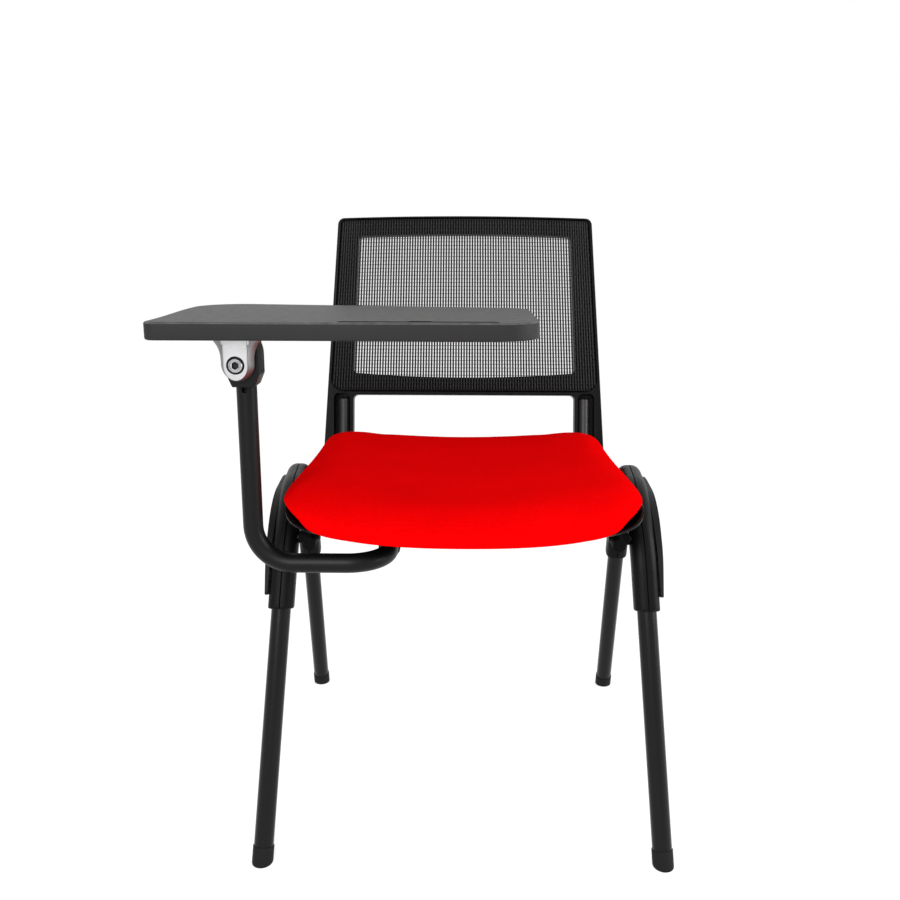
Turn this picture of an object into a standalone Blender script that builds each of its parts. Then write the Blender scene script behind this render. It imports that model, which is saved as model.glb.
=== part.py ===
"""Training chair with a flip-up writing tablet.

Tube legs plug into two moulded side arches, an upholstered seat rests on steel rails between them,
the rails rise into a mesh back, and a bent tube beside the seat carries the tablet on a hinge.
The chair faces -Y, +Z is up, and all sizes are metres measured from the mid-plane of the seat.
"""

import math

import bmesh
import bpy
import numpy as np
from mathutils import Vector

# Fits
GAP = 0.0003
COVER_GAP = 0.0007
SEAM_HALF = 0.0003

# How finely round shapes are drawn
TUBE_SIDES = 20
PIVOT_SIDES = 16
RAIL_SIDES = 12
BOLT_SIDES = 10
SCREW_SIDES = 8
HEX_SIDES = 6
SEAT_SIDES = 56
SEAT_FINENESS = 200
SHELL_ROWS = 5
CROWN_ROWS = 3
ROLL_ROWS = 4
BEND_STEPS = 6
WINDOW_STEPS = 3
FRAME_STEPS = 4
TABLET_STEPS = 8
BOW_POINTS = 5
STRAP_POINTS = 9
HEAD_POINTS = 5
FLANK_POINTS = 5
EAR_POINTS = 11
SMOOTH_ANGLE = math.radians(35)

# Seat
SEAT_BASE_Z = 0.4258
SEAT_HALF_WIDTH = 0.2325
SEAT_TAPER = 0.0093
SEAT_HALF_DEPTH = 0.2095
SEAT_MID_Y = -0.004
SEAT_FRONT_BOW = 0.0445
SEAT_SQUARENESS = 9
SHELL_THICK = 0.0035
SHELL_HEIGHT = 0.0522
SHELL_FLOOR_INSET = 0.0605
SHELL_RIM_INSET = 0.0065
RIM_FRONT_DROP = 0.036
RIM_DROP_LENGTH = 0.083
BOARD_THICK = 0.012
BOARD_INSET = 0.005
CUSHION_RISE = 0.023
CUSHION_REAR_RISE = 0.008
CUSHION_DISH = 0.016
CUSHION_REAR_DISH = 0.018
CUSHION_FRONT_DISH = 0.004
CUSHION_FRONT_FALL = 0.032
CUSHION_FALL_LENGTH = 0.128
CUSHION_ROUND = 0.012

SEAT_FRONT_Y = SEAT_MID_Y - SEAT_HALF_DEPTH - SEAT_FRONT_BOW
SEAT_REAR_Y = SEAT_MID_Y + SEAT_HALF_DEPTH
SHELL_FLAT = 1 - SHELL_FLOOR_INSET / SEAT_HALF_WIDTH
SHELL_RIM = 1 - SHELL_RIM_INSET / SEAT_HALF_WIDTH
BOARD_SIZE = SHELL_FLAT - BOARD_INSET / SEAT_HALF_WIDTH
RIM_SIDE_Z = SEAT_BASE_Z + SHELL_HEIGHT
CUSHION_TOP_Z = RIM_SIDE_Z + CUSHION_RISE

# Side arches, placed by the seat they stand beside
ARCH_ABOVE_BASE = 0.0352
ARCH_BEND_R = 0.120
ARCH_CORNER = 0.010
ARCH_END_TAPER = 0.004
ARCH_END_DRAW = 0.0018
SOCKET_WALL_DEEP = 0.0055
SOCKET_WALL_WIDE = 0.005
FRONT_SOCKET_DEPTH = 0.069
REAR_SOCKET_DEPTH = 0.110

# Leg tubes
LEG_R = 0.0125
LEG_WALL = 0.0015
LEG_TOP_DROP = 0.066
FRONT_FOOT_OUT = 0.0361
FRONT_FOOT_Y = -0.2572
FRONT_SPLAY = 0.0586
FRONT_LEAN = 0.302
REAR_FOOT_OUT = 0.0330
REAR_FOOT_Y = 0.2572
REAR_SPLAY = 0.0107
REAR_LEAN = -0.3193

FRONT_FOOT_X = SEAT_HALF_WIDTH + FRONT_FOOT_OUT
REAR_FOOT_X = SEAT_HALF_WIDTH + REAR_FOOT_OUT
ARCH_AXIS_Z = SEAT_BASE_Z + ARCH_ABOVE_BASE
ARCH_HALF_DEPTH = LEG_R + SOCKET_WALL_DEEP
ARCH_HALF_WIDTH = LEG_R + SOCKET_WALL_WIDE
ARCH_END_SCALE = 1 - ARCH_END_DRAW / ARCH_HALF_DEPTH
LEG_TOP_Z = ARCH_AXIS_Z - LEG_TOP_DROP
FRONT_SOCKET_Z = LEG_TOP_Z - FRONT_SOCKET_DEPTH
REAR_SOCKET_Z = LEG_TOP_Z - REAR_SOCKET_DEPTH

# Feet
FOOT_WALL = 0.0014
FOOT_HEIGHT = 0.026
FOOT_FLOOR = 0.0085
FOOT_CHAMFER = 0.0015

# Arch covers
COVER_THICK = 0.004
COVER_EDGE = 0.0015
COVER_INSET = 0.006
COVER_ABOVE_FRONT = 0.012
COVER_ABOVE_REAR = 0.045
WEB_ABOVE_COVER = 0.024
WEB_THICK = 0.0018
WEB_RAISE = 0.0020
WEB_LAP = 0.0020

COVER_FRONT_Z = FRONT_SOCKET_Z + COVER_ABOVE_FRONT
COVER_REAR_Z = REAR_SOCKET_Z + COVER_ABOVE_REAR
WEB_LOW_Z = COVER_FRONT_Z + WEB_ABOVE_COVER

# Rails and cross tubes under the seat
RAIL_R = 0.009
RAIL_WALL = 0.002
RAIL_INSET = 0.024
RAIL_FRONT_REACH = 0.0266
RAIL_BEND_R = 0.040
RAIL_TOP_ROOM = 0.010
CROSS_FRONT_Y = -0.030
CROSS_REAR_Y = 0.155

RAIL_X = SEAT_HALF_WIDTH - RAIL_INSET
RAIL_Z = SEAT_BASE_Z - GAP - RAIL_R

# Bolts and welded bushes that hold each rail to its arch
BOLT_R = 0.004
BOLT_HEAD_R = 0.0065
BOLT_HEAD_H = 0.008
BOLT_END = 0.002
BUSH_STEP = 0.0008
SPOT_DEPTH = 0.0015

BUSH_R = RAIL_R - BUSH_STEP

# Small screws and plugs
SCREW_R = 0.002
SCREW_HEAD_R = 0.0045
SCREW_HEAD_H = 0.003
LEG_SCREW_DROP = 0.035
LEG_SCREW_SINK = 0.004
LEG_SCREW_REACH = 0.0025
SEAT_SCREW_R = 0.0025
SEAT_SCREW_FRONT_Y = -0.085
SEAT_SCREW_REAR_Y = 0.080
SEAT_BOSS_R = 0.007
PLUG_LIP = 0.002
PLUG_REACH = 0.010

LEG_SCREW_Z = LEG_TOP_Z - LEG_SCREW_DROP

# Back, in its own plane: u across, v up along the back, w forward from its front face
BACK_LEAN = math.radians(12.0)
BACK_BEHIND_SEAT = 0.0165
BACK_ABOVE_BASE = 0.0642
BACK_THICK = 0.025
BACK_TOP_V = 0.3742
BACK_TAPER = 0.0241
BACK_LOW_V = -0.030
BACK_TOP_R = 0.012
BACK_TOP_CROWN = 0.004
BACK_EDGE = 0.002
UPRIGHT_INNER_WALL = 0.0065
UPRIGHT_OUTER_WALL = 0.0190
GAP_TOP_V = 0.0651
GAP_CORNER = 0.008
WINDOW_TOP_RAIL = 0.0344
WINDOW_LOW_RAIL = 0.0383
WINDOW_TOP_STILE = 0.0354
WINDOW_LOW_STILE = 0.0505
WINDOW_CORNER = 0.006
WINDOW_CROWN = 0.004
WINDOW_SAG = 0.008
FRAME_RIM = 0.003
FRAME_LOW_LIP = 0.0054
CARRIER_THICK = 0.0067
CARRIER_DEPTH = 0.008
CARRIER_CORNER = 0.016
CARRIER_EDGE = 0.001
SLOT_SHIFT = 0.0025
SLOT_HALF = 0.0125
SLOT_ABOVE_GAP = 0.0029
SLOT_CORNER = 0.009
ROD_SINK = 0.0015
ROD_SCREW_V = 0.020
MESH_THICK = 0.0006
MESH_BORDER = 0.014
MESH_GAPS_ACROSS = 14
MESH_GAPS_UP = 9
MESH_STRAND = 0.0035

BACK_Y = SEAT_REAR_Y + BACK_BEHIND_SEAT
BACK_Z = SEAT_BASE_Z + BACK_ABOVE_BASE
SLOT_U = RAIL_X + SLOT_SHIFT
SLOT_TOP_V = GAP_TOP_V + SLOT_ABOVE_GAP
RAIL_TOP_V = SLOT_TOP_V - RAIL_TOP_ROOM
UPRIGHT_INNER = SLOT_U - SLOT_HALF - UPRIGHT_INNER_WALL
BACK_LOW_HALF = SLOT_U + SLOT_HALF + UPRIGHT_OUTER_WALL
BACK_TOP_HALF = BACK_LOW_HALF - BACK_TAPER
WINDOW_TOP_V = BACK_TOP_V - WINDOW_TOP_RAIL
WINDOW_LOW_V = GAP_TOP_V + WINDOW_LOW_RAIL
WINDOW_TOP_HALF = BACK_TOP_HALF - WINDOW_TOP_STILE
WINDOW_LOW_HALF = BACK_LOW_HALF - WINDOW_LOW_STILE
ROD_W = -RAIL_R - ROD_SINK
SLOT_W = ROD_W - RAIL_R - GAP

# Tablet arm
ARM_R = 0.0125
ARM_WALL = 0.0018
ARM_OUT = 0.0345
ARM_Y = -0.2245
ARM_TOP_Z = 0.6415
ARM_BEND_R = 0.050
ARM_REAR_INSET = 0.1325
ARM_END_ROOM = 0.009
CLAMP_THICK = 0.002
CLAMP_LENGTH = 0.022
CLAMP_EAR = 0.030
CLAMP_BACK = 0.027
CLAMP_SPACING = 0.075
CLAMP_SCREW_X = 0.0225

ARM_X = -(SEAT_HALF_WIDTH + ARM_OUT)
ARM_REAR_X = ARM_REAR_INSET - SEAT_HALF_WIDTH
ARM_RUN_Z = SEAT_BASE_Z - GAP - ARM_R
ARM_END_Y = CROSS_FRONT_Y - RAIL_R - ARM_END_ROOM
CLAMP_REAR_Y = ARM_END_Y - CLAMP_BACK
CLAMP_FRONT_Y = CLAMP_REAR_Y - CLAMP_SPACING

# Tablet hinge
HINGE_OUT = 0.004
HINGE_RISE = 0.0290
HEAD_HALF_X = 0.0195
HEAD_HALF_Y = 0.018
HEAD_NECK_X = 0.0135
HEAD_FLAT_X = 0.003
HEAD_SPIGOT = 0.035
HEAD_SCREW_DROP = 0.018
KEY_R = 0.0030
WASHER_THICK = 0.0015
WASHER_R = 0.013
PIVOT_R = 0.005
PIVOT_HEAD_R = 0.0085
PIVOT_HEAD_H = 0.0055
PIVOT_SOCKET_R = 0.0046
PIVOT_SOCKET_DEPTH = 0.004
PIVOT_NUT_R = 0.0098
PIVOT_NUT_H = 0.008
EAR_THICK = 0.012
EAR_HALF_TOP = 0.029
EAR_HALF_LOW = 0.0205
PAD_R = 0.0160
PAD_RAISE = 0.0025
PAD_RECESS = 0.004
PAD_RECESS_R = 0.0103
FLANGE_THICK = 0.005
FLANGE_CORNER = 0.006
FLANGE_SCREW_ROOM = 0.0009
FLANGE_SCREW_EDGE = 0.001
FLANGE_SCREW_REACH = 0.010

HINGE_X = ARM_X - HINGE_OUT
HINGE_Z = ARM_TOP_Z + HINGE_RISE
HEAD_SCREW_Z = ARM_TOP_Z - HEAD_SCREW_DROP
EAR_NEAR = HEAD_HALF_Y + WASHER_THICK + 2 * GAP
EAR_FAR = EAR_NEAR + EAR_THICK
FLANGE_SCREW_Y = EAR_FAR + FLANGE_SCREW_ROOM + SCREW_HEAD_R
FLANGE_HALF_Y = FLANGE_SCREW_Y + SCREW_HEAD_R + FLANGE_SCREW_EDGE

# Writing tablet, placed by the arm that carries it
TABLET_RISE = 0.0385
TABLET_THICK = 0.020
TABLET_LEFT = 0.080
TABLET_RIGHT = 0.349
TABLET_FLARE = 0.014
TABLET_NEAR = 0.123
TABLET_FAR_LEFT = 0.1695
TABLET_FAR_RIGHT = 0.1015
TABLET_NEAR_LEFT_R = 0.011
TABLET_NEAR_RIGHT_R = 0.045
TABLET_FAR_RIGHT_R = 0.035
TABLET_FAR_LEFT_R = 0.050
TABLET_EDGE = 0.0025
GROOVE_FROM_LEFT = 0.208
GROOVE_FROM_RIGHT = 0.046
GROOVE_INSET = 0.008
GROOVE_WIDTH = 0.007
GROOVE_DEPTH = 0.003
GROOVE_CORNER = 0.003

TABLET_UNDER_Z = HINGE_Z + TABLET_RISE
TABLET_LEFT_X = ARM_X - TABLET_LEFT
TABLET_RIGHT_X = ARM_X + TABLET_RIGHT
TABLET_NEAR_Y = ARM_Y - TABLET_NEAR
FLANGE_TOP_Z = TABLET_UNDER_Z - GAP
FLANGE_LOW_Z = FLANGE_TOP_Z - FLANGE_THICK
HEAD_TOP_Z = FLANGE_LOW_Z - GAP

# Colours
BLACK_PLASTIC = (0.018, 0.018, 0.019, 0.55, 0.0)
BLACK_PAINT = (0.012, 0.012, 0.013, 0.35, 0.1)
BARE_STEEL = (0.45, 0.45, 0.46, 0.35, 1.0)
ALUMINIUM = (0.70, 0.70, 0.71, 0.28, 1.0)
RED_CLOTH = (0.60, 0.004, 0.008, 0.9, 0.0)
BOARD_WOOD = (0.45, 0.30, 0.17, 0.7, 0.0)
GREY_PLASTIC = (0.16, 0.16, 0.165, 0.5, 0.0)
BLACK_RUBBER = (0.015, 0.015, 0.015, 0.8, 0.0)
BLACK_NET = (0.02, 0.02, 0.021, 0.8, 0.0)


def start_empty():
    """Clears the scene and returns the point that every piece hangs from."""
    for old in list(bpy.data.objects):
        bpy.data.objects.remove(old)
    root = bpy.data.objects.new("chair", None)
    bpy.context.scene.collection.objects.link(root)
    return root


ROOT = start_empty()


def solid(name, shapes, look, at=(0.0, 0.0, 0.0)):
    """One object from closed shapes, each a pair of points and faces, with its origin at a chosen point."""
    bm = bmesh.new()
    for points, faces in shapes:
        corners = [bm.verts.new(np.asarray(p, float) - np.asarray(at)) for p in points]
        for face in faces:
            bm.faces.new([corners[i] for i in face])
    bmesh.ops.recalc_face_normals(bm, faces=bm.faces)
    mesh = bpy.data.meshes.new(name)
    bm.to_mesh(mesh)
    bm.free()
    mesh.shade_smooth()
    mesh.set_sharp_from_angle(angle=SMOOTH_ANGLE)
    material = bpy.data.materials.new(name)
    material.use_nodes = True
    shader = material.node_tree.nodes["Principled BSDF"]
    shader.inputs["Base Color"].default_value = (*look[:3], 1.0)
    shader.inputs["Roughness"].default_value = look[3]
    shader.inputs["Metallic"].default_value = look[4]
    mesh.materials.append(material)
    obj = bpy.data.objects.new(name, mesh)
    bpy.context.scene.collection.objects.link(obj)
    obj.parent = ROOT
    obj.location = at
    return obj


def shape_with(obj, suffix, shapes, operation):
    """Cuts the shapes from an object, or joins them to it."""
    tool = solid(obj.name + suffix, shapes, BARE_STEEL)
    tool.hide_render = True
    tool.display_type = "WIRE"
    step = obj.modifiers.new(suffix, "BOOLEAN")
    step.solver = "EXACT"
    step.operation = operation
    step.object = tool


def cut(obj, shapes, suffix="_holes"):
    shape_with(obj, suffix, shapes, "DIFFERENCE")


def join(obj, shapes, suffix="_joined"):
    shape_with(obj, suffix, shapes, "UNION")


def across(direction):
    """Two unit vectors square to a direction and to each other."""
    d = np.asarray(direction, float) / np.linalg.norm(direction)
    helper = np.array([0.0, 0.0, 1.0]) if abs(d[2]) < 0.9 else np.array([1.0, 0.0, 0.0])
    first = np.cross(helper, d)
    first /= np.linalg.norm(first)
    return first, np.cross(d, first), d


def turned(profile, origin, direction, sides):
    """A turned shape: a profile of (radius, distance along the axis) taken round the axis.

    A profile that starts and ends on the axis closes there, and any other is a closed ring.
    """
    first, second, d = across(direction)
    angles = 2 * math.pi * np.arange(sides) / sides
    rim = np.outer(np.cos(angles), first) + np.outer(np.sin(angles), second)
    points = []
    rows = []
    for radius, along in profile:
        centre = np.asarray(origin) + d * along
        count = 1 if radius == 0 else sides
        rows.append([len(points) + i % count for i in range(sides)])
        points += [centre] if radius == 0 else list(centre + radius * rim)
    on_axis = profile[0][0] == 0
    faces = []
    for k in range(len(rows) - on_axis):
        low, high = rows[k], rows[(k + 1) % len(rows)]
        for i in range(sides):
            j = (i + 1) % sides
            ring = [low[i], low[j], high[j], high[i]]
            faces.append(list(dict.fromkeys(ring)))
    return points, faces


def rod(radius, start, end, sides):
    """A plain round bar between two points."""
    along = np.asarray(end, float) - np.asarray(start, float)
    length = float(np.linalg.norm(along))
    return turned([(0, 0), (radius, 0), (radius, length), (0, length)], start, along, sides)


def stepped(steps, origin, direction, sides):
    """A round bar whose radius changes along its axis, from (radius, from, to) steps."""
    profile = [(0, steps[0][1])]
    for radius, low, high in steps:
        profile += [(radius, low), (radius, high)]
    profile.append((0, steps[-1][2]))
    return turned(profile, origin, direction, sides)


def ring(outer, inner, start, end, sides):
    """A round sleeve between two points."""
    along = np.asarray(end, float) - np.asarray(start, float)
    length = float(np.linalg.norm(along))
    profile = [(outer, 0), (outer, length), (inner, length), (inner, 0)]
    return turned(profile, start, along, sides)


def screw(origin, direction, shank, head, head_height, length, sides=SCREW_SIDES):
    """A screw whose head starts at the origin and whose shank runs along the direction."""
    steps = [(head, 0, head_height), (shank, head_height, length)]
    return stepped(steps, origin, direction, sides)


def bent_path(corners, radius, steps):
    """A path of straight runs joined at each inner corner by an arc of one radius."""
    corners = [np.asarray(c, float) for c in corners]
    path = [corners[0]]
    for before, corner, after in zip(corners, corners[1:], corners[2:]):
        arrive = (corner - before) / np.linalg.norm(corner - before)
        leave = (after - corner) / np.linalg.norm(after - corner)
        turn = math.acos(float(np.dot(arrive, leave)))
        reach = radius * math.tan(turn / 2)
        inward = leave - arrive * math.cos(turn)
        inward /= np.linalg.norm(inward)
        start = corner - arrive * reach
        for k in range(steps + 1):
            a = turn * k / steps
            path.append(start + radius * (math.sin(a) * arrive + (1 - math.cos(a)) * inward))
    path.append(corners[-1])
    return np.array(path)


def pipe(path, outer, inner, sides):
    """A hollow tube along a path, open at both ends."""
    tangents = np.gradient(path, axis=0)
    tangents /= np.linalg.norm(tangents, axis=1)[:, None]
    side, _, _ = across(tangents[0])
    angles = 2 * math.pi * np.arange(sides) / sides
    points = []
    for centre, tangent in zip(path, tangents):
        side = side - tangent * np.dot(side, tangent)
        side /= np.linalg.norm(side)
        other = np.cross(tangent, side)
        rim = np.outer(np.cos(angles), side) + np.outer(np.sin(angles), other)
        points += list(centre + outer * rim) + list(centre + inner * rim)
    faces = []
    last = len(path) - 1
    for k in range(last):
        for shift in (0, sides):
            a, b = 2 * sides * k + shift, 2 * sides * (k + 1) + shift
            faces += [[a + i, a + (i + 1) % sides, b + (i + 1) % sides, b + i] for i in range(sides)]
    for end in (0, 2 * sides * last):
        for i in range(sides):
            j = (i + 1) % sides
            faces.append([end + i, end + j, end + sides + j, end + sides + i])
    return points, faces


def skin(rows, count):
    """Faces that join rows of points, each row a closed loop, and fill the first and the last row."""
    faces = [list(range(count)), list(range((rows - 1) * count, rows * count))]
    for k in range(rows - 1):
        for i in range(count):
            j = (i + 1) % count
            faces.append([k * count + i, k * count + j, (k + 1) * count + j, (k + 1) * count + i])
    return faces


def inset(loop, distance):
    """A closed loop moved to its left, square to its edges, by one distance."""
    loop = np.asarray(loop, float)
    arrive = loop - np.roll(loop, 1, axis=0)
    leave = np.roll(loop, -1, axis=0) - loop
    arrive /= np.linalg.norm(arrive, axis=1)[:, None]
    leave /= np.linalg.norm(leave, axis=1)[:, None]
    square_in = np.stack([-arrive[:, 1], arrive[:, 0]], axis=1)
    square_out = np.stack([-leave[:, 1], leave[:, 0]], axis=1)
    mitre = square_in + square_out
    mitre /= (1 + np.sum(square_in * square_out, axis=1))[:, None]
    return loop + distance * mitre


def plate(loops, low, high, edge, place):
    """A flat plate with broken edges.

    The first loop is the outline, counter-clockwise, and the others are openings, clockwise.
    Both faces are filled, the edges are broken by one size, and place() puts (u, v, w) into the chair.
    """
    levels = [(low, edge), (low + edge, 0), (high - edge, 0), (high, edge)]
    if edge == 0:
        levels = [(low, 0), (high, 0)]
    bm = bmesh.new()
    end_edges = ([], [])
    for loop in loops:
        rows = []
        for w, shift in levels:
            rows.append([bm.verts.new((p[0], p[1], w)) for p in inset(loop, shift)])
        count = len(loop)
        for below, above in zip(rows, rows[1:]):
            for i in range(count):
                j = (i + 1) % count
                bm.faces.new([below[i], below[j], above[j], above[i]])
        for edges, row in zip(end_edges, (rows[0], rows[-1])):
            edges += [bm.edges.get((row[i], row[(i + 1) % count])) for i in range(count)]
    for edges in end_edges:
        bmesh.ops.triangle_fill(bm, use_beauty=True, edges=edges)
    bm.verts.index_update()
    points = [place(*v.co) for v in bm.verts]
    faces = [[v.index for v in f.verts] for f in bm.faces]
    bm.free()
    return points, faces


def rounded(corners, radii, steps):
    """A closed loop through corners, each rounded by its own radius."""
    corners = [np.asarray(c, float) for c in corners]
    loop = []
    for k, corner in enumerate(corners):
        arrive = corner - corners[k - 1]
        leave = corners[(k + 1) % len(corners)] - corner
        arrive /= np.linalg.norm(arrive)
        leave /= np.linalg.norm(leave)
        turn = math.acos(float(np.clip(np.dot(arrive, leave), -1, 1)))
        reach = radii[k] * math.tan(turn / 2)
        if reach == 0:
            loop.append(corner)
            continue
        inward = leave - arrive * math.cos(turn)
        inward /= np.linalg.norm(inward)
        for i in range(steps + 1):
            a = turn * i / steps
            bend = math.sin(a) * arrive + (1 - math.cos(a)) * inward
            loop.append(corner - arrive * reach + radii[k] * bend)
    return np.array(loop)


def level(x, y, z):
    return (x, y, z)


def facing(x, z, y):
    """Puts a loop drawn in the front view, with its depth, into the chair."""
    return (x, y, z)


def leg_point(side, front, z):
    """The point of a leg's axis at one height."""
    if front:
        return np.array([side * (FRONT_FOOT_X - FRONT_SPLAY * z), FRONT_FOOT_Y + FRONT_LEAN * z, z])
    return np.array([side * (REAR_FOOT_X - REAR_SPLAY * z), REAR_FOOT_Y + REAR_LEAN * z, z])


def middle_x(y, z):
    """How far the middle of a side arch lies from the seat's mid-plane."""
    front = leg_point(1, True, z)
    rear = leg_point(1, False, z)
    share = min(max((y - front[1]) / (rear[1] - front[1]), 0.0), 1.0)
    return front[0] + (rear[0] - front[0]) * share


def arch_place(side):
    return lambda y, z, w: (side * (middle_x(y, z) + w), y, z)


def on_back(u, v, w):
    """A point of the back from its own u, v and w."""
    y = BACK_Y + v * math.sin(BACK_LEAN) - w * math.cos(BACK_LEAN)
    z = BACK_Z + v * math.cos(BACK_LEAN) + w * math.sin(BACK_LEAN)
    return np.array([u, y, z])


BACK_FORWARD = on_back(0, 0, 1) - on_back(0, 0, 0)
SIDES = ((-1, "left"), (1, "right"))
ENDS = ((True, "front"), (False, "rear"))


# Legs and feet
def make_leg(side, front, name):
    """A steel tube from inside its foot to the end of its socket, with a hole for its screw."""
    foot = leg_point(side, front, 0.0)
    top = leg_point(side, front, LEG_TOP_Z)
    d = (top - foot) / np.linalg.norm(top - foot)
    start = foot + d * (FOOT_FLOOR + GAP)
    tube = ring(LEG_R, LEG_R - LEG_WALL, start, top, TUBE_SIDES)
    leg = solid(f"{name}_leg", [tube], BLACK_PAINT, start)
    at = leg_point(side, front, LEG_SCREW_Z)
    inner = np.array([-side, 0.0, 0.0])
    hole = rod(SCREW_R + GAP, at + inner * LEG_R / 2, at + inner * 2 * LEG_R, SCREW_SIDES)
    cut(leg, [hole])


def make_foot(side, front, name):
    """A moulded cap round the end of a leg, cut level where it stands on the floor."""
    foot = leg_point(side, front, 0.0)
    top = leg_point(side, front, LEG_TOP_Z)
    first, second, d = across(top - foot)
    angles = 2 * math.pi * np.arange(TUBE_SIDES) / TUBE_SIDES
    rim = np.outer(np.cos(angles), first) + np.outer(np.sin(angles), second)
    outer = LEG_R + GAP + FOOT_WALL

    def floor_row(radius, height):
        """The row of points at one height where a cylinder round the leg's axis meets that level."""
        points = foot + radius * rim
        return points + np.outer((height - points[:, 2]) / d[2], d)

    rows = [
        floor_row(outer - FOOT_CHAMFER, 0.0),
        floor_row(outer, FOOT_CHAMFER),
        foot + d * FOOT_HEIGHT + outer * rim,
        foot + d * FOOT_HEIGHT + (LEG_R + GAP) * rim,
        foot + d * FOOT_FLOOR + (LEG_R + GAP) * rim,
    ]
    solid(f"{name}_foot", [(np.concatenate(rows), skin(len(rows), TUBE_SIDES))], BLACK_RUBBER, foot)


for front, end_name in ENDS:
    for side, side_name in SIDES:
        make_leg(side, front, f"{end_name}_{side_name}")
        make_foot(side, front, f"{end_name}_{side_name}")


# Side arches
def arch_line():
    """The arch's path in the side view, from the front socket over the crest to the rear socket."""
    front_corner = leg_point(1, True, ARCH_AXIS_Z)[1:]
    rear_corner = leg_point(1, False, ARCH_AXIS_Z)[1:]
    front_end = leg_point(1, True, FRONT_SOCKET_Z)[1:]
    rear_end = leg_point(1, False, REAR_SOCKET_Z)[1:]
    path = bent_path([front_end, front_corner, rear_corner, rear_end], ARCH_BEND_R, BEND_STEPS)
    first = path[0] + (path[1] - path[0]) * ARCH_END_TAPER / np.linalg.norm(path[1] - path[0])
    last = path[-1] + (path[-2] - path[-1]) * ARCH_END_TAPER / np.linalg.norm(path[-2] - path[-1])
    return np.concatenate([path[:1], [first], path[1:-1], [last], path[-1:]])


ARCH_LINE = arch_line()


def arch_normals():
    """The direction out of the arch, square to its path, at each point of the path."""
    tangents = np.gradient(ARCH_LINE, axis=0)
    tangents /= np.linalg.norm(tangents, axis=1)[:, None]
    return np.stack([-tangents[:, 1], tangents[:, 0]], axis=1)


ARCH_OUT = arch_normals()


def arch_half(side, sign):
    """One moulded half: half a rounded section taken along the arch, split on the arch's middle."""
    c = ARCH_CORNER * (1 - math.sqrt(0.5))
    h, w = ARCH_HALF_DEPTH, ARCH_HALF_WIDTH
    section = [(-h, SEAM_HALF), (h, SEAM_HALF), (h, w - ARCH_CORNER), (h - c, w - c)]
    section += [(h - ARCH_CORNER, w), (ARCH_CORNER - h, w), (c - h, w - c), (-h, w - ARCH_CORNER)]
    place = arch_place(side)
    points = []
    last = len(ARCH_LINE) - 1
    for k, (centre, out) in enumerate(zip(ARCH_LINE, ARCH_OUT)):
        scale = ARCH_END_SCALE if k in (0, last) else 1.0
        for depth, width in section:
            y, z = centre + out * depth * scale
            offset = SEAM_HALF + (width - SEAM_HALF) * scale
            points.append(place(y, z, sign * offset))
    return points, skin(len(ARCH_LINE), len(section))


def cover_strip(side):
    """The cover's strap: a flat section with broken edges taken along the arch's outer face."""
    reach = ARCH_HALF_DEPTH - COVER_INSET
    low = ARCH_HALF_WIDTH + COVER_GAP
    high = low + COVER_THICK
    section = [(-reach, low), (reach, low), (reach, high - COVER_EDGE), (reach - COVER_EDGE, high)]
    section += [(COVER_EDGE - reach, high), (-reach, high - COVER_EDGE)]
    line = ARCH_LINE[1:-1].copy()
    line[0] = leg_point(1, True, COVER_FRONT_Z)[1:]
    line[-1] = leg_point(1, False, COVER_REAR_Z)[1:]
    place = arch_place(side)
    points = []
    for centre, out in zip(line, ARCH_OUT[1:-1]):
        points += [place(*(centre + out * depth), width) for depth, width in section]
    return points, skin(len(line), len(section))


def cover_web():
    """The panel inside the arch in the side view: the arch's inner edge and a level lower edge."""
    reach = ARCH_HALF_DEPTH - COVER_INSET - WEB_LAP
    upper = [list(p) for p in (ARCH_LINE - ARCH_OUT * reach)[2:-2]]
    front_y = leg_point(1, True, WEB_LOW_Z)[1] + reach
    rear_y = leg_point(1, False, WEB_LOW_Z)[1] - reach
    return np.array([[front_y, WEB_LOW_Z]] + upper + [[rear_y, WEB_LOW_Z]])[::-1]


def rail_bolts(side):
    """Where each bolt of one side crosses the arch's middle, and whether it is the front one."""
    for front, _ in ENDS:
        y = leg_point(1, front, RAIL_Z)[1]
        yield np.array([side * middle_x(y, RAIL_Z), y, RAIL_Z]), front


def arch_cutters(side):
    """The bolt holes of one side: spot face, clearance hole and counterbore on each bolt's axis."""
    outward = np.array([side, 0.0, 0.0])
    sink = ARCH_HALF_WIDTH - BOLT_HEAD_H - 2 * GAP
    far = 2 * ARCH_HALF_WIDTH
    cutters = []
    for at, _ in rail_bolts(side):
        steps = [
            (BUSH_R + 2 * GAP, -far, SPOT_DEPTH - ARCH_HALF_WIDTH),
            (BOLT_R + GAP, SPOT_DEPTH - ARCH_HALF_WIDTH, sink),
            (BOLT_HEAD_R + GAP, sink, far),
        ]
        cutters.append(stepped(steps, at, outward, RAIL_SIDES))
    return cutters


def leg_bores(side):
    bores = []
    for front, _ in ENDS:
        low = leg_point(side, front, REAR_SOCKET_Z - 3 * ARCH_HALF_DEPTH)
        high = leg_point(side, front, LEG_TOP_Z)
        d = (high - low) / np.linalg.norm(high - low)
        bores.append(rod(LEG_R + GAP, low, high + d * GAP, TUBE_SIDES))
    return bores


def leg_screw_holes(side):
    """A recess and a hole for each leg's screw, from the arch's inner face."""
    outward = np.array([side, 0.0, 0.0])
    holes = []
    for front, _ in ENDS:
        at = leg_point(side, front, LEG_SCREW_Z)
        seat = LEG_SCREW_SINK - ARCH_HALF_WIDTH
        steps = [
            (SCREW_HEAD_R + GAP, -2 * ARCH_HALF_WIDTH, seat),
            (SCREW_R + GAP, seat, -LEG_R / 2),
        ]
        holes.append(stepped(steps, at, outward, SCREW_SIDES))
    return holes


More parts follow.
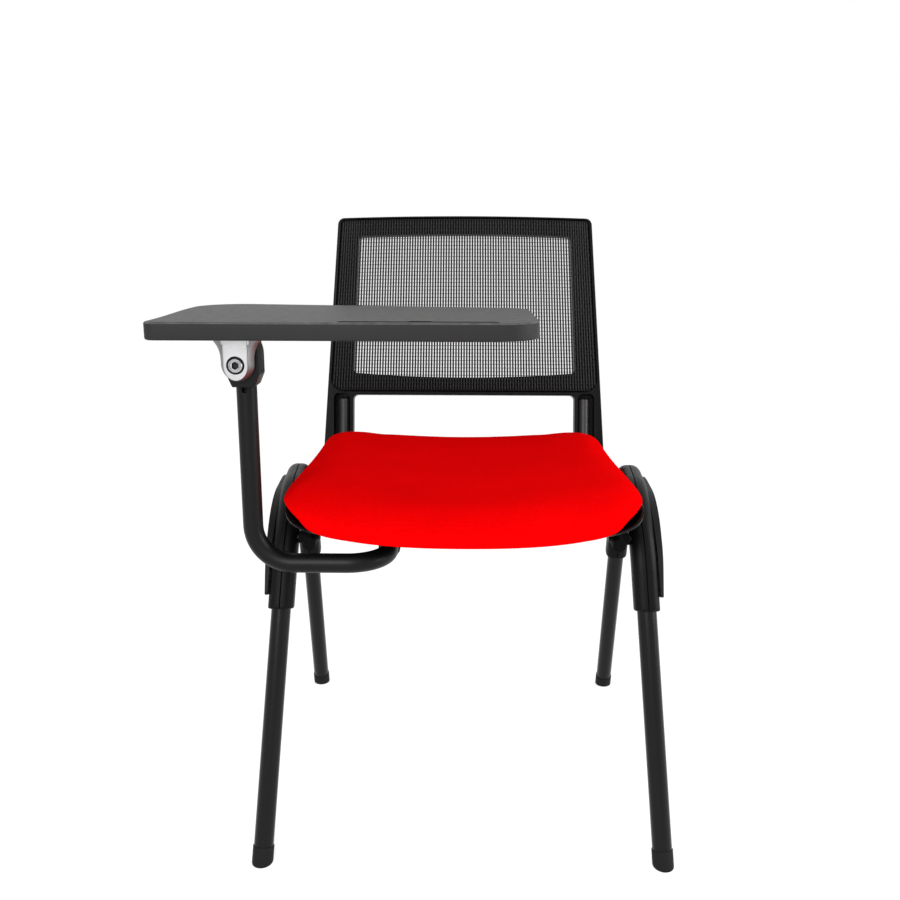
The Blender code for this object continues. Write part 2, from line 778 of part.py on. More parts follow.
for side, side_name in SIDES:
    centre = (side * middle_x(0.0, ARCH_AXIS_Z), 0.0, ARCH_AXIS_Z)
    for sign, half_name in ((-1, "inner"), (1, "outer")):
        half = solid(f"{side_name}_arch_{half_name}", [arch_half(side, sign)], BLACK_PLASTIC, centre)
        cut(half, leg_bores(side), "_bores")
        cut(half, arch_cutters(side), "_bolt_holes")
        if sign < 0:
            cut(half, leg_screw_holes(side), "_screw_holes")
    cover = solid(f"{side_name}_arch_cover", [cover_strip(side)], BLACK_PLASTIC, centre)
    low = ARCH_HALF_WIDTH + WEB_RAISE
    join(cover, [plate([cover_web()], low, low + WEB_THICK, 0, arch_place(side))], "_web")


def make_leg_screw(side, front, name):
    """The screw that pins a leg in its socket, sunk into the arch's inner face."""
    at = leg_point(side, front, LEG_SCREW_Z)
    outward = np.array([side, 0.0, 0.0])
    head = at + outward * (LEG_SCREW_SINK - ARCH_HALF_WIDTH - GAP - SCREW_HEAD_H)
    tip = at - outward * (LEG_R - LEG_WALL - LEG_SCREW_REACH)
    length = float(np.linalg.norm(tip - head))
    shape = screw(head, outward, SCREW_R, SCREW_HEAD_R, SCREW_HEAD_H, length)
    solid(f"{name}_leg_screw", [shape], BARE_STEEL, head)


for front, end_name in ENDS:
    for side, side_name in SIDES:
        make_leg_screw(side, front, f"{end_name}_{side_name}")


# Rails, cross tubes and their fixings
SEAT_SCREW_Y = (SEAT_SCREW_FRONT_Y, SEAT_SCREW_REAR_Y)
RAIL_FRONT_Y = leg_point(1, True, RAIL_Z)[1] - RAIL_FRONT_REACH


def rail_corner():
    """Where the level run of a rail would meet its rising run."""
    v = (RAIL_Z - BACK_Z - ROD_W * math.sin(BACK_LEAN)) / math.cos(BACK_LEAN)
    return on_back(0.0, v, ROD_W)


def make_rail(side, name):
    corner = rail_corner()
    x = side * RAIL_X
    top = on_back(x, RAIL_TOP_V, ROD_W)
    path = bent_path([(x, RAIL_FRONT_Y, RAIL_Z), (x, corner[1], RAIL_Z), top], RAIL_BEND_R, BEND_STEPS)
    tube = pipe(path, RAIL_R, RAIL_R - RAIL_WALL, RAIL_SIDES)
    rail = solid(f"{name}_rail", [tube], BLACK_PAINT, path[0])
    outward = np.array([side, 0.0, 0.0])
    bushes, holes = [], []
    for at, _ in rail_bolts(side):
        middle = np.array([x, at[1], at[2]])
        seat = at - outward * (ARCH_HALF_WIDTH - SPOT_DEPTH + GAP)
        bushes.append(rod(BUSH_R, middle + outward * RAIL_R / 2, seat, RAIL_SIDES))
        holes.append(rod(BOLT_R + GAP, middle - outward * 2 * RAIL_R, at, BOLT_SIDES))
    for y in SEAT_SCREW_Y:
        low, high = RAIL_Z - 2 * RAIL_R, RAIL_Z + 2 * RAIL_R
        holes.append(rod(SEAT_SCREW_R + GAP, (x, y, low), (x, y, high), SCREW_SIDES))
    behind = on_back(x, ROD_SCREW_V, ROD_W - 2 * RAIL_R)
    holes.append(rod(SCREW_R + GAP, behind, on_back(x, ROD_SCREW_V, ROD_W), SCREW_SIDES))
    join(rail, bushes, "_bushes")
    cut(rail, holes)
    return path


def tube_plug(radius, wall, start, direction, sides):
    """A plug whose lip covers the end of a tube and whose spigot goes into its bore."""
    steps = [(radius, -GAP - PLUG_LIP, -GAP), (radius - wall - GAP, -GAP, PLUG_REACH)]
    return stepped(steps, start, direction, sides)


for side, side_name in SIDES:
    path = make_rail(side, side_name)
    for name, end, beyond in (("front", path[0], path[1]), ("top", path[-1], path[-2])):
        plug = tube_plug(RAIL_R, RAIL_WALL, end, beyond - end, RAIL_SIDES)
        solid(f"{side_name}_rail_{name}_plug", [plug], BLACK_PLASTIC, end)

for y, name in ((CROSS_FRONT_Y, "front"), (CROSS_REAR_Y, "rear")):
    reach = RAIL_X - RAIL_R - GAP
    ends = (-reach, y, RAIL_Z), (reach, y, RAIL_Z)
    tube = ring(RAIL_R, RAIL_R - RAIL_WALL, *ends, RAIL_SIDES)
    solid(f"{name}_cross_tube", [tube], BLACK_PAINT, (0.0, y, RAIL_Z))


def make_rail_bolt(side, at, name):
    """A bolt from the arch's outer face through both halves and the bush into the rail's far wall."""
    outward = np.array([side, 0.0, 0.0])
    head = at + outward * (ARCH_HALF_WIDTH - GAP)
    tip = np.array([side * (RAIL_X - RAIL_R - BOLT_END), at[1], at[2]])
    length = float(np.linalg.norm(head - tip))
    shape = screw(head, -outward, BOLT_R, BOLT_HEAD_R, BOLT_HEAD_H, length, BOLT_SIDES)
    solid(name, [shape], BARE_STEEL, head)


for side, side_name in SIDES:
    for at, front in rail_bolts(side):
        end_name = "front" if front else "rear"
        make_rail_bolt(side, at, f"{end_name}_{side_name}_rail_bolt")


# Seat
def seat_edge():
    """The seat's outline in the plan view: a squarish oval, wider in front, with a bowed front edge.

    It is drawn finely from the middle of the front edge round, then read at even distances.
    """
    a = np.linspace(-math.pi / 2, 3 * math.pi / 2, SEAT_FINENESS * SEAT_SIDES + 1)
    power = 2 / SEAT_SQUARENESS
    x = SEAT_HALF_WIDTH * np.sign(np.cos(a)) * np.abs(np.cos(a)) ** power
    y = SEAT_HALF_DEPTH * np.sign(np.sin(a)) * np.abs(np.sin(a)) ** power
    bow = SEAT_FRONT_BOW * (1 - (x / SEAT_HALF_WIDTH) ** 2) * (y < 0)
    x = x * (1 - SEAT_TAPER / SEAT_HALF_WIDTH * y / SEAT_HALF_DEPTH)
    y = y - bow
    run = np.concatenate([[0.0], np.cumsum(np.hypot(np.diff(x), np.diff(y)))])
    even = run[-1] * (np.arange(SEAT_SIDES) + 0.5) / SEAT_SIDES
    return np.stack([np.interp(even, run, x), np.interp(even, run, y)], axis=1)


SEAT_EDGE = seat_edge()


def seat_row(size):
    """One row of points of the seat's plan, at a share of its outline."""
    return SEAT_EDGE * size + np.array([0.0, SEAT_MID_Y])


def blend(t):
    t = np.clip(t, 0.0, 1.0)
    return t * t * (3 - 2 * t)


def rim_height():
    """The height of the shell's rim all round: level at the sides and rear, lower towards the front."""
    from_front = seat_row(1.0)[:, 1] - SEAT_FRONT_Y
    return RIM_SIDE_Z - RIM_FRONT_DROP * blend(1 - from_front / RIM_DROP_LENGTH)


RIM_Z = rim_height()


def seat_stack(rows):
    """A closed shape from (size of the plan, heights) rows, closed by a fan at each end."""
    points = []
    for size, heights in rows:
        plan = seat_row(size)
        points += [(p[0], p[1], z) for p, z in zip(plan, np.broadcast_to(heights, SEAT_SIDES))]
    faces = []
    count = SEAT_SIDES
    for k in range(len(rows) - 1):
        for i in range(count):
            j = (i + 1) % count
            faces.append([k * count + i, k * count + j, (k + 1) * count + j, (k + 1) * count + i])
    for start, heights in ((0, rows[0][1]), ((len(rows) - 1) * count, rows[-1][1])):
        points.append((0.0, SEAT_MID_Y, float(np.mean(heights))))
        middle = len(points) - 1
        faces += [[start + i, start + (i + 1) % count, middle] for i in range(count)]
    return points, faces


def shell_row(t, wall):
    """Size and heights of a face of the shell, from its flat floor (0) up to its rim (1).

    The sides sweep up in a quarter round, and towards the front the sweep flattens to a straight slope.
    """
    a = t * math.pi / 2
    floor = SEAT_BASE_Z + wall
    size = SHELL_FLAT + (SHELL_RIM - SHELL_FLAT - wall / SEAT_HALF_WIDTH) * math.sin(a)
    straight = (RIM_SIDE_Z - RIM_Z) / RIM_FRONT_DROP
    rise = (1 - straight) * (1 - math.cos(a)) + straight * math.sin(a)
    return size, floor + (RIM_Z - floor) * rise


SHELL_STEPS = np.linspace(0, 1, SHELL_ROWS)


def make_shell():
    rows = [shell_row(t, 0.0) for t in SHELL_STEPS]
    rows += [shell_row(t, SHELL_THICK) for t in SHELL_STEPS[::-1]]
    return solid("seat_shell", [seat_stack(rows)], BLACK_PLASTIC, (0.0, SEAT_MID_Y, SEAT_BASE_Z))


BOARD_LOW_Z = SEAT_BASE_Z + SHELL_THICK + GAP
BOARD_TOP_Z = BOARD_LOW_Z + BOARD_THICK


def make_board():
    rows = [(BOARD_SIZE, BOARD_LOW_Z), (BOARD_SIZE, BOARD_TOP_Z)]
    return solid("seat_board", [seat_stack(rows)], BOARD_WOOD, (0.0, SEAT_MID_Y, BOARD_LOW_Z))


def cushion_top(size):
    """Height of the padded top: dished across, falling over the front edge, rounded at its rim."""
    plan = seat_row(size)
    x = plan[:, 0] / SEAT_HALF_WIDTH
    y = plan[:, 1]
    ahead = 1 - (y - SEAT_FRONT_Y) / CUSHION_FALL_LENGTH
    behind = blend(y / SEAT_REAR_Y)
    dish = CUSHION_DISH + (CUSHION_REAR_DISH - CUSHION_DISH) * behind
    dish = dish + (CUSHION_FRONT_DISH - CUSHION_DISH) * blend(ahead)
    fall = np.clip(ahead, 0.0, 1.0) ** 2
    over = min(max(0.0, (size - SHELL_FLAT) / (1 - SHELL_FLAT)), 1.0)
    edge = CUSHION_ROUND * (1 - math.sqrt(1 - over * over))
    rise = CUSHION_REAR_RISE * behind - CUSHION_FRONT_FALL * fall - edge
    return CUSHION_TOP_Z + rise - dish * (1 - x * x)


def make_cushion():
    """The pad: a dished crown whose sides draw in to the rim, and a base that fills the shell."""
    crown = SHELL_FLAT * np.arange(1, CROWN_ROWS + 1) / CROWN_ROWS
    roll = np.sin(np.arange(1, ROLL_ROWS + 1) / ROLL_ROWS * math.pi / 2)
    sizes = [*crown, *(SHELL_FLAT + (1 - SHELL_FLAT) * roll)]
    rows = [(size, cushion_top(size)) for size in sizes]
    low = RIM_Z + GAP
    rows.append(((1 + SHELL_RIM) / 2, (rows[-1][1] + low) / 2))
    rows.append((SHELL_RIM, low))
    clear = 2 * GAP / SEAT_HALF_WIDTH
    for t in SHELL_STEPS[:0:-1]:
        size, heights = shell_row(t, SHELL_THICK)
        rows.append((size - clear, np.maximum(heights, BOARD_TOP_Z) + GAP))
    rows.append((SHELL_FLAT / 2, BOARD_TOP_Z + GAP))
    points, faces = seat_stack(rows)
    points[-2] = (0.0, SEAT_MID_Y, CUSHION_TOP_Z - CUSHION_DISH)
    solid("seat_cushion", [(points, faces)], RED_CLOTH, (0.0, SEAT_MID_Y, BOARD_TOP_Z))


make_cushion()
shell = make_shell()
board = make_board()

# Screws that hold the seat down on its rails and the arm's clamps up under the seat
SEAT_SCREWS = [(side * RAIL_X, y) for side, _ in SIDES for y in SEAT_SCREW_Y]
CLAMP_Y = (CLAMP_FRONT_Y, CLAMP_REAR_Y)
CLAMP_SCREWS = [(ARM_REAR_X + s * CLAMP_SCREW_X, y) for s in (-1, 1) for y in CLAMP_Y]
SCREW_TIP_Z = BOARD_TOP_Z - SEAT_SCREW_R / 2
seat_holes = []
for x, y in SEAT_SCREWS + CLAMP_SCREWS:
    low, high = SEAT_BASE_Z - SHELL_THICK, BOARD_TOP_Z + SHELL_THICK
    seat_holes.append(rod(SEAT_SCREW_R + GAP, (x, y, low), (x, y, high), SCREW_SIDES))
bosses = [rod(SEAT_BOSS_R, (x, y, SEAT_BASE_Z), (x, y, BOARD_TOP_Z), RAIL_SIDES) for x, y in SEAT_SCREWS]
join(shell, bosses, "_bosses")
cut(shell, seat_holes)
cut(board, seat_holes)


def upward_screws(name, places, seat_z):
    """Screws driven up into the seat board, with their heads under the height they seat on."""
    head = seat_z - GAP - SCREW_HEAD_H
    length = SCREW_TIP_Z - head
    for count, (x, y) in enumerate(places, 1):
        shape = screw((x, y, head), (0, 0, 1), SEAT_SCREW_R, SCREW_HEAD_R, SCREW_HEAD_H, length)
        solid(f"{name}_{count}", [shape], BARE_STEEL, (x, y, head))


upward_screws("seat_screw", SEAT_SCREWS, RAIL_Z - RAIL_R)


# Back
def back_half(v):
    """Half the width of the back's outer frame at one height."""
    share = (BACK_TOP_V - v) / (BACK_TOP_V - BACK_LOW_V)
    return BACK_TOP_HALF + (BACK_LOW_HALF - BACK_TOP_HALF) * share


def bowed(start, end, rise):
    """Points from start to end, both left out, that rise above the straight line in the middle."""
    start, end = np.asarray(start, float), np.asarray(end, float)
    t = np.arange(1, BOW_POINTS + 1) / (BOW_POINTS + 1)
    points = start + np.outer(t, end - start)
    points[:, 1] += rise * 4 * t * (1 - t)
    return [list(p) for p in points]


def window(grow):
    """The see-through opening of the back, made larger all round by one size."""
    low = [-WINDOW_LOW_HALF, WINDOW_LOW_V]
    low_right = [WINDOW_LOW_HALF, WINDOW_LOW_V]
    top_right = [WINDOW_TOP_HALF, WINDOW_TOP_V]
    top = [-WINDOW_TOP_HALF, WINDOW_TOP_V]
    loop = [low] + bowed(low, low_right, -WINDOW_SAG) + [low_right]
    loop += [top_right] + bowed(top_right, top, WINDOW_CROWN) + [top]
    radii = ([WINDOW_CORNER] + [0] * BOW_POINTS + [WINDOW_CORNER]) * 2
    return inset(rounded(loop, radii, WINDOW_STEPS), -grow)


def frame_outline():
    """The outer frame's outline: two uprights below, a bowed top edge, and the open gap between."""
    top = [-BACK_TOP_HALF, BACK_TOP_V - BACK_TOP_CROWN]
    top_right = [BACK_TOP_HALF, BACK_TOP_V - BACK_TOP_CROWN]
    loop = [[-BACK_LOW_HALF, BACK_LOW_V], [-UPRIGHT_INNER, BACK_LOW_V], [-UPRIGHT_INNER, GAP_TOP_V]]
    radii = [0, 0, GAP_CORNER]
    loop += [[UPRIGHT_INNER, GAP_TOP_V], [UPRIGHT_INNER, BACK_LOW_V], [BACK_LOW_HALF, BACK_LOW_V]]
    radii += [GAP_CORNER, 0, 0]
    loop += [top_right] + bowed(top_right, top, BACK_TOP_CROWN) + [top]
    radii += [BACK_TOP_R] + [0] * BOW_POINTS + [BACK_TOP_R]
    return rounded(loop, radii, FRAME_STEPS)


def carrier_outline(grow):
    """The outline of the frame that carries the mesh, or with growth of the recess it sits in."""
    low_v = GAP_TOP_V + FRAME_LOW_LIP
    low_half = back_half(low_v) - FRAME_RIM
    top_v = BACK_TOP_V - BACK_TOP_CROWN - FRAME_RIM
    top_half = back_half(top_v) - FRAME_RIM
    low, low_right = [-low_half, low_v], [low_half, low_v]
    top_right, top = [top_half, top_v], [-top_half, top_v]
    loop = [low, low_right, top_right] + bowed(top_right, top, BACK_TOP_CROWN) + [top]
    corner = BACK_TOP_R - FRAME_RIM
    radii = [CARRIER_CORNER, CARRIER_CORNER, corner] + [0] * BOW_POINTS + [corner]
    return inset(rounded(loop, radii, FRAME_STEPS), -grow)


def slot_outline(side):
    """The outline of the channel in an upright's front, rounded at its top."""
    left, right = side * SLOT_U - SLOT_HALF, side * SLOT_U + SLOT_HALF
    low = 2 * BACK_LOW_V
    corners = [[left, low], [right, low], [right, SLOT_TOP_V], [left, SLOT_TOP_V]]
    return rounded(corners, [0, 0, SLOT_CORNER, SLOT_CORNER], FRAME_STEPS)


def make_back():
    """The outer frame with its recess and rod channels, the frame that carries the mesh, and two screws."""
    loops = [frame_outline(), window(GAP)[::-1]]
    slab = plate(loops, -BACK_THICK, 0.0, BACK_EDGE, on_back)
    frame = solid("back_frame", [slab], BLACK_PLASTIC, on_back(0.0, 0.0, 0.0))
    recess = plate([carrier_outline(GAP)], -CARRIER_DEPTH, CARRIER_DEPTH, 0, on_back)
    cut(frame, [recess], "_recess")
    slots = [plate([slot_outline(side)], SLOT_W, BACK_THICK, 0, on_back) for side, _ in SIDES]
    cut(frame, slots, "_slots")
    low = GAP - CARRIER_DEPTH
    loops = [carrier_outline(0.0), window(0.0)[::-1]]
    carrier = plate(loops, low, low + CARRIER_THICK, CARRIER_EDGE, on_back)
    solid("mesh_frame", [carrier], BLACK_PLASTIC, on_back(0.0, WINDOW_LOW_V, 0.0))
    rear = -BACK_THICK - GAP - SCREW_HEAD_H
    reach = ROD_W - RAIL_R + RAIL_WALL + SCREW_R - rear
    through = []
    for side, side_name in SIDES:
        at = on_back(side * RAIL_X, ROD_SCREW_V, rear)
        shape = screw(at, BACK_FORWARD, SCREW_R, SCREW_HEAD_R, SCREW_HEAD_H, reach)
        solid(f"{side_name}_rod_screw", [shape], BARE_STEEL, at)
        through.append(rod(SCREW_R + GAP, at, on_back(side * RAIL_X, ROD_SCREW_V, ROD_W), SCREW_SIDES))
    cut(frame, through)


make_back()


def make_mesh():
    """The net of the back: a bordered grid of strands whose openings lie inside the window."""
    def lines(gaps, low, high):
        """Edges of border, openings and strands from one side of the net to the other, as shares."""
        pitch = (high - low + MESH_STRAND) / gaps
        places = [low - MESH_BORDER]
        for k in range(gaps):
            places += [low + k * pitch, low + (k + 1) * pitch - MESH_STRAND]
        return np.array(places + [high + MESH_BORDER])

    across_lines = lines(MESH_GAPS_ACROSS, -WINDOW_LOW_HALF, WINDOW_LOW_HALF) / WINDOW_LOW_HALF
    up_lines = lines(MESH_GAPS_UP, WINDOW_LOW_V, WINDOW_TOP_V)
    low_w = GAP - CARRIER_DEPTH + CARRIER_THICK + GAP
    columns, rows = len(across_lines), len(up_lines)
    points = []
    for w in (low_w, low_w + MESH_THICK):
        for v in up_lines:
            share = (v - WINDOW_LOW_V) / (WINDOW_TOP_V - WINDOW_LOW_V)
            half = WINDOW_LOW_HALF + (WINDOW_TOP_HALF - WINDOW_LOW_HALF) * share
            points += [on_back(s * half, v, w) for s in across_lines]
    kept = {(i, j) for j in range(rows - 1) for i in range(columns - 1) if not (i % 2 and j % 2)}
    layer = columns * rows
    faces = []
    for i, j in sorted(kept):
        a, b = j * columns + i, (j + 1) * columns + i
        faces.append([a, a + 1, b + 1, b])
        faces.append([layer + b, layer + b + 1, layer + a + 1, layer + a])
        walls = [(i, j - 1, a, a + 1), (i, j + 1, b + 1, b), (i - 1, j, b, a), (i + 1, j, a + 1, b + 1)]
        for beside, above, p, q in walls:
            if (beside, above) not in kept:
                faces.append([q, p, layer + p, layer + q])
    solid("back_mesh", [(points, faces)], BLACK_NET, on_back(0.0, WINDOW_LOW_V, 0.0))


make_mesh()

# Tablet arm
arm_corners = [
    (ARM_X, ARM_Y, ARM_TOP_Z),
    (ARM_X, ARM_Y, ARM_RUN_Z),
    (ARM_REAR_X, ARM_Y, ARM_RUN_Z),
    (ARM_REAR_X, ARM_END_Y, ARM_RUN_Z),
]
arm_path = bent_path(arm_corners, ARM_BEND_R, BEND_STEPS)
arm_pipe = pipe(arm_path, ARM_R, ARM_R - ARM_WALL, PIVOT_SIDES)
arm = solid("arm_tube", [arm_pipe], BLACK_PAINT, arm_corners[0])
notch_z = ARM_TOP_Z - KEY_R / 2
notch = rod(KEY_R, (ARM_X, ARM_Y - 2 * ARM_R, notch_z), (ARM_X, ARM_Y, notch_z), RAIL_SIDES)
head_screw_at = np.array([ARM_X, ARM_Y, HEAD_SCREW_Z])
rearward = np.array([0.0, 1.0, 0.0])
head_screw_hole = rod(SCREW_R + GAP, head_screw_at, head_screw_at + rearward * 2 * ARM_R, SCREW_SIDES)
cut(arm, [notch, head_screw_hole])
arm_plug = tube_plug(ARM_R, ARM_WALL, arm_path[-1], -rearward, PIVOT_SIDES)
solid("arm_plug", [arm_plug], BLACK_PLASTIC, arm_path[-1])


def clamp_outline():
    """A strap round the underside of the arm, with a flat ear each side against the seat."""
    inner = ARM_R + GAP
    outer = inner + CLAMP_THICK
    top = SEAT_BASE_Z - GAP
    ear = top - CLAMP_THICK
    under = [(math.cos(a), math.sin(a)) for a in np.linspace(math.pi, 2 * math.pi, STRAP_POINTS)]
    loop = [(-CLAMP_EAR, ear), (-outer, ear)]
    loop += [(outer * c, ARM_RUN_Z + outer * s) for c, s in under]
    loop += [(outer, ear), (CLAMP_EAR, ear), (CLAMP_EAR, top), (inner, top)]
    loop += [(inner * c, ARM_RUN_Z + inner * s) for c, s in under[::-1]]
    loop += [(-inner, top), (-CLAMP_EAR, top)]
    return np.array(loop) + np.array([ARM_REAR_X, 0.0])


for y, name in zip(CLAMP_Y, ("front", "rear")):
    strap = plate([clamp_outline()], y - CLAMP_LENGTH / 2, y + CLAMP_LENGTH / 2, 0, facing)
    clamp = solid(f"{name}_arm_clamp", [strap], BLACK_PAINT, (ARM_REAR_X, y, ARM_RUN_Z))
    low = SEAT_BASE_Z - 4 * CLAMP_THICK
    places = [place for place in CLAMP_SCREWS if place[1] == y]
    cut(clamp, [rod(SEAT_SCREW_R + GAP, (*p, low), (*p, SEAT_BASE_Z), SCREW_SIDES) for p in places])
upward_screws("clamp_screw", CLAMP_SCREWS, SEAT_BASE_Z - GAP - CLAMP_THICK)

# Tablet hinge, built round the pivot's axis
PIVOT = np.array([HINGE_X, ARM_Y, HINGE_Z])


def head_outline():
    """The hinge head: flat on top under the tablet, round where it swings past, narrow at the tube."""
    rise = HEAD_TOP_Z - HINGE_Z
    low = ARM_TOP_Z + GAP - HINGE_Z
    swing = rise - GAP
    tube = ARM_X - HINGE_X
    left, right = tube - HEAD_HALF_X, tube + HEAD_HALF_X
    corner = math.acos(left / swing)
    turns = np.linspace(math.pi / 2, corner, HEAD_POINTS)
    arc = [(swing * math.cos(a), swing * math.sin(a)) for a in turns]
    loop = [(tube - HEAD_NECK_X, low), (tube + HEAD_NECK_X, low), (right, low / 2)]
    loop += [(right, rise), (HEAD_FLAT_X, rise)] + arc + [(left, low / 2)]
    return np.array(loop) + np.array([HINGE_X, HINGE_Z])


block = plate([head_outline()], ARM_Y - HEAD_HALF_Y, ARM_Y + HEAD_HALF_Y, 0, facing)
head = solid("hinge_head", [block], BLACK_PLASTIC, PIVOT)
spigot_r = ARM_R - ARM_WALL - GAP
spigot_low = np.array([ARM_X, ARM_Y, ARM_TOP_Z - HEAD_SPIGOT])
join(head, [rod(spigot_r, spigot_low, (ARM_X, ARM_Y, ARM_TOP_Z + KEY_R), PIVOT_SIDES)], "_spigot")
key_ends = (ARM_X, ARM_Y - ARM_R, notch_z), (ARM_X, ARM_Y - spigot_r / 2, notch_z)
join(head, [rod(KEY_R - GAP, *key_ends, RAIL_SIDES)], "_key")
pivot_far = EAR_FAR + PAD_RAISE + PIVOT_NUT_H
pivot_start = PIVOT - rearward * 2 * pivot_far
pivot_end = PIVOT + rearward * 2 * pivot_far
pivot_bore = rod(PIVOT_R + GAP, pivot_start, pivot_end, PIVOT_SIDES)
cut(head, [pivot_bore, head_screw_hole])
head_screw_start = head_screw_at + rearward * (ARM_R + GAP + SCREW_HEAD_H)
head_screw_length = SCREW_HEAD_H + ARM_R - SCREW_R
head_screw = screw(head_screw_start, -rearward, SCREW_R, SCREW_HEAD_R, SCREW_HEAD_H, head_screw_length)
solid("head_screw", [head_screw], BARE_STEEL, head_screw_start)

for sign, name in ((-1, "front"), (1, "rear")):
    near = PIVOT + rearward * sign * (HEAD_HALF_Y + GAP)
    washer = ring(WASHER_R, PIVOT_R + GAP, near, near + rearward * sign * WASHER_THICK, PIVOT_SIDES)
    solid(f"{name}_hinge_washer", [washer], GREY_PLASTIC, PIVOT)


def ear_outline():
    """One cheek of the bracket in the front view: wide at the flange, waisted, round below the pivot."""
    top = FLANGE_LOW_Z + FLANGE_THICK / 2 - HINGE_Z
    waist = top / 3
    t = np.linspace(0, 1, FLANK_POINTS)
    flank_x = EAR_HALF_TOP + (EAR_HALF_LOW - EAR_HALF_TOP) * np.sin(t * math.pi / 2)
    flank_z = top + (waist - top) * t
    right = list(zip(flank_x, flank_z))
    turns = np.linspace(0, -math.pi, EAR_POINTS)
    under = [(EAR_HALF_LOW * math.cos(a), EAR_HALF_LOW * math.sin(a)) for a in turns]
    left = [(-x, z) for x, z in right[::-1]]
    return (np.array(right + under + left) + np.array([HINGE_X, HINGE_Z]))[::-1]


def rectangle(half_x, half_y, corner):
    corners = [(-half_x, -half_y), (half_x, -half_y), (half_x, half_y), (-half_x, half_y)]
    return rounded(corners, [corner] * 4, WINDOW_STEPS) + np.array([HINGE_X, ARM_Y])


flange_loop = rectangle(EAR_HALF_TOP, FLANGE_HALF_Y, FLANGE_CORNER)
flange = plate([flange_loop], FLANGE_LOW_Z, FLANGE_TOP_Z, 0, level)
bracket = solid("tablet_bracket", [flange], ALUMINIUM, PIVOT)
ears = []
for low, high in ((-EAR_FAR, -EAR_NEAR), (EAR_NEAR, EAR_FAR)):
    ears.append(plate([ear_outline()], ARM_Y + low, ARM_Y + high, 0, facing))
join(bracket, ears, "_ears")
face = PIVOT - rearward * EAR_FAR
pad_ends = face + rearward * EAR_THICK / 2, face - rearward * PAD_RAISE
join(bracket, [rod(PAD_R, *pad_ends, TUBE_SIDES)], "_pad")
cut(bracket, [pivot_bore], "_bore")
recess_floor = face + rearward * (PAD_RECESS - PAD_RAISE)
cut(bracket, [rod(PAD_RECESS_R, recess_floor, face - rearward * EAR_THICK, TUBE_SIDES)], "_recess")
flange_screws = [(HINGE_X, ARM_Y + sign * FLANGE_SCREW_Y) for sign in (-1, 1)]
screw_low = FLANGE_LOW_Z - GAP - SCREW_HEAD_H
screw_top = TABLET_UNDER_Z + FLANGE_SCREW_REACH
flange_holes = []
for (x, y), name in zip(flange_screws, ("front", "rear")):
    start = (x, y, screw_low)
    flange_holes.append(rod(SCREW_R + GAP, start, (x, y, screw_top + GAP), SCREW_SIDES))
    shape = screw(start, (0, 0, 1), SCREW_R, SCREW_HEAD_R, SCREW_HEAD_H, screw_top - screw_low)
    solid(f"{name}_tablet_screw", [shape], BARE_STEEL, PIVOT)
cut(bracket, flange_holes, "_screw_holes")

bolt_start = recess_floor - rearward * (GAP + PIVOT_HEAD_H)
nut_start = PIVOT + rearward * (EAR_FAR + GAP)
nut_end = nut_start + rearward * PIVOT_NUT_H
bolt_length = nut_end[1] + BOLT_END - bolt_start[1]
bolt_shape = screw(bolt_start, rearward, PIVOT_R, PIVOT_HEAD_R, PIVOT_HEAD_H, bolt_length, PIVOT_SIDES)
pivot_bolt = solid("hinge_bolt", [bolt_shape], BARE_STEEL, PIVOT)
socket_ends = bolt_start + rearward * PIVOT_SOCKET_DEPTH, bolt_start - rearward * PIVOT_HEAD_H
cut(pivot_bolt, [rod(PIVOT_SOCKET_R, *socket_ends, HEX_SIDES)])
nut = solid("hinge_nut", [rod(PIVOT_NUT_R, nut_start, nut_end, HEX_SIDES)], BARE_STEEL, PIVOT)
cut(nut, [pivot_bore])

# Writing tablet
tablet_corners = [
    (TABLET_LEFT_X, TABLET_NEAR_Y),
    (TABLET_RIGHT_X, TABLET_NEAR_Y),
    (TABLET_RIGHT_X, ARM_Y + TABLET_FAR_RIGHT),
    (TABLET_LEFT_X - TABLET_FLARE, ARM_Y + TABLET_FAR_LEFT),
]
tablet_radii = [TABLET_NEAR_LEFT_R, TABLET_NEAR_RIGHT_R, TABLET_FAR_RIGHT_R, TABLET_FAR_LEFT_R]
tablet_top_z = TABLET_UNDER_Z + TABLET_THICK
tablet_loop = rounded(tablet_corners, tablet_radii, TABLET_STEPS)
tablet_slab = plate([tablet_loop], TABLET_UNDER_Z, tablet_top_z, TABLET_EDGE, level)
tablet = solid("tablet_board", [tablet_slab], GREY_PLASTIC, PIVOT)
groove_near = TABLET_NEAR_Y + GROOVE_INSET
groove_left = TABLET_LEFT_X + GROOVE_FROM_LEFT
groove_right = TABLET_RIGHT_X - GROOVE_FROM_RIGHT
groove_corners = [
    (groove_left, groove_near),
    (groove_right, groove_near),
    (groove_right, groove_near + GROOVE_WIDTH),
    (groove_left, groove_near + GROOVE_WIDTH),
]
groove_loop = rounded(groove_corners, [GROOVE_CORNER] * 4, FRAME_STEPS)
groove = plate([groove_loop], tablet_top_z - GROOVE_DEPTH, tablet_top_z + GROOVE_DEPTH, 0, level)
cut(tablet, [groove] + flange_holes)


def centre_footprint():
    """Moves the whole chair so that its box stands centred on the origin."""
    bpy.context.view_layer.update()
    low = Vector((math.inf, math.inf, 0.0))
    high = Vector((-math.inf, -math.inf, 0.0))
    for obj in bpy.data.objects:
        if obj.type != "MESH" or obj.hide_render:
            continue
        for corner in obj.bound_box:
            at = obj.matrix_world @ Vector(corner)
            low = Vector((min(low.x, at.x), min(low.y, at.y), 0.0))
            high = Vector((max(high.x, at.x), max(high.y, at.y), 0.0))
    ROOT.location = -(low + high) / 2


centre_footprint()
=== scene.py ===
import math

import bmesh
import bpy
import numpy as np
from mathutils import Matrix, Vector


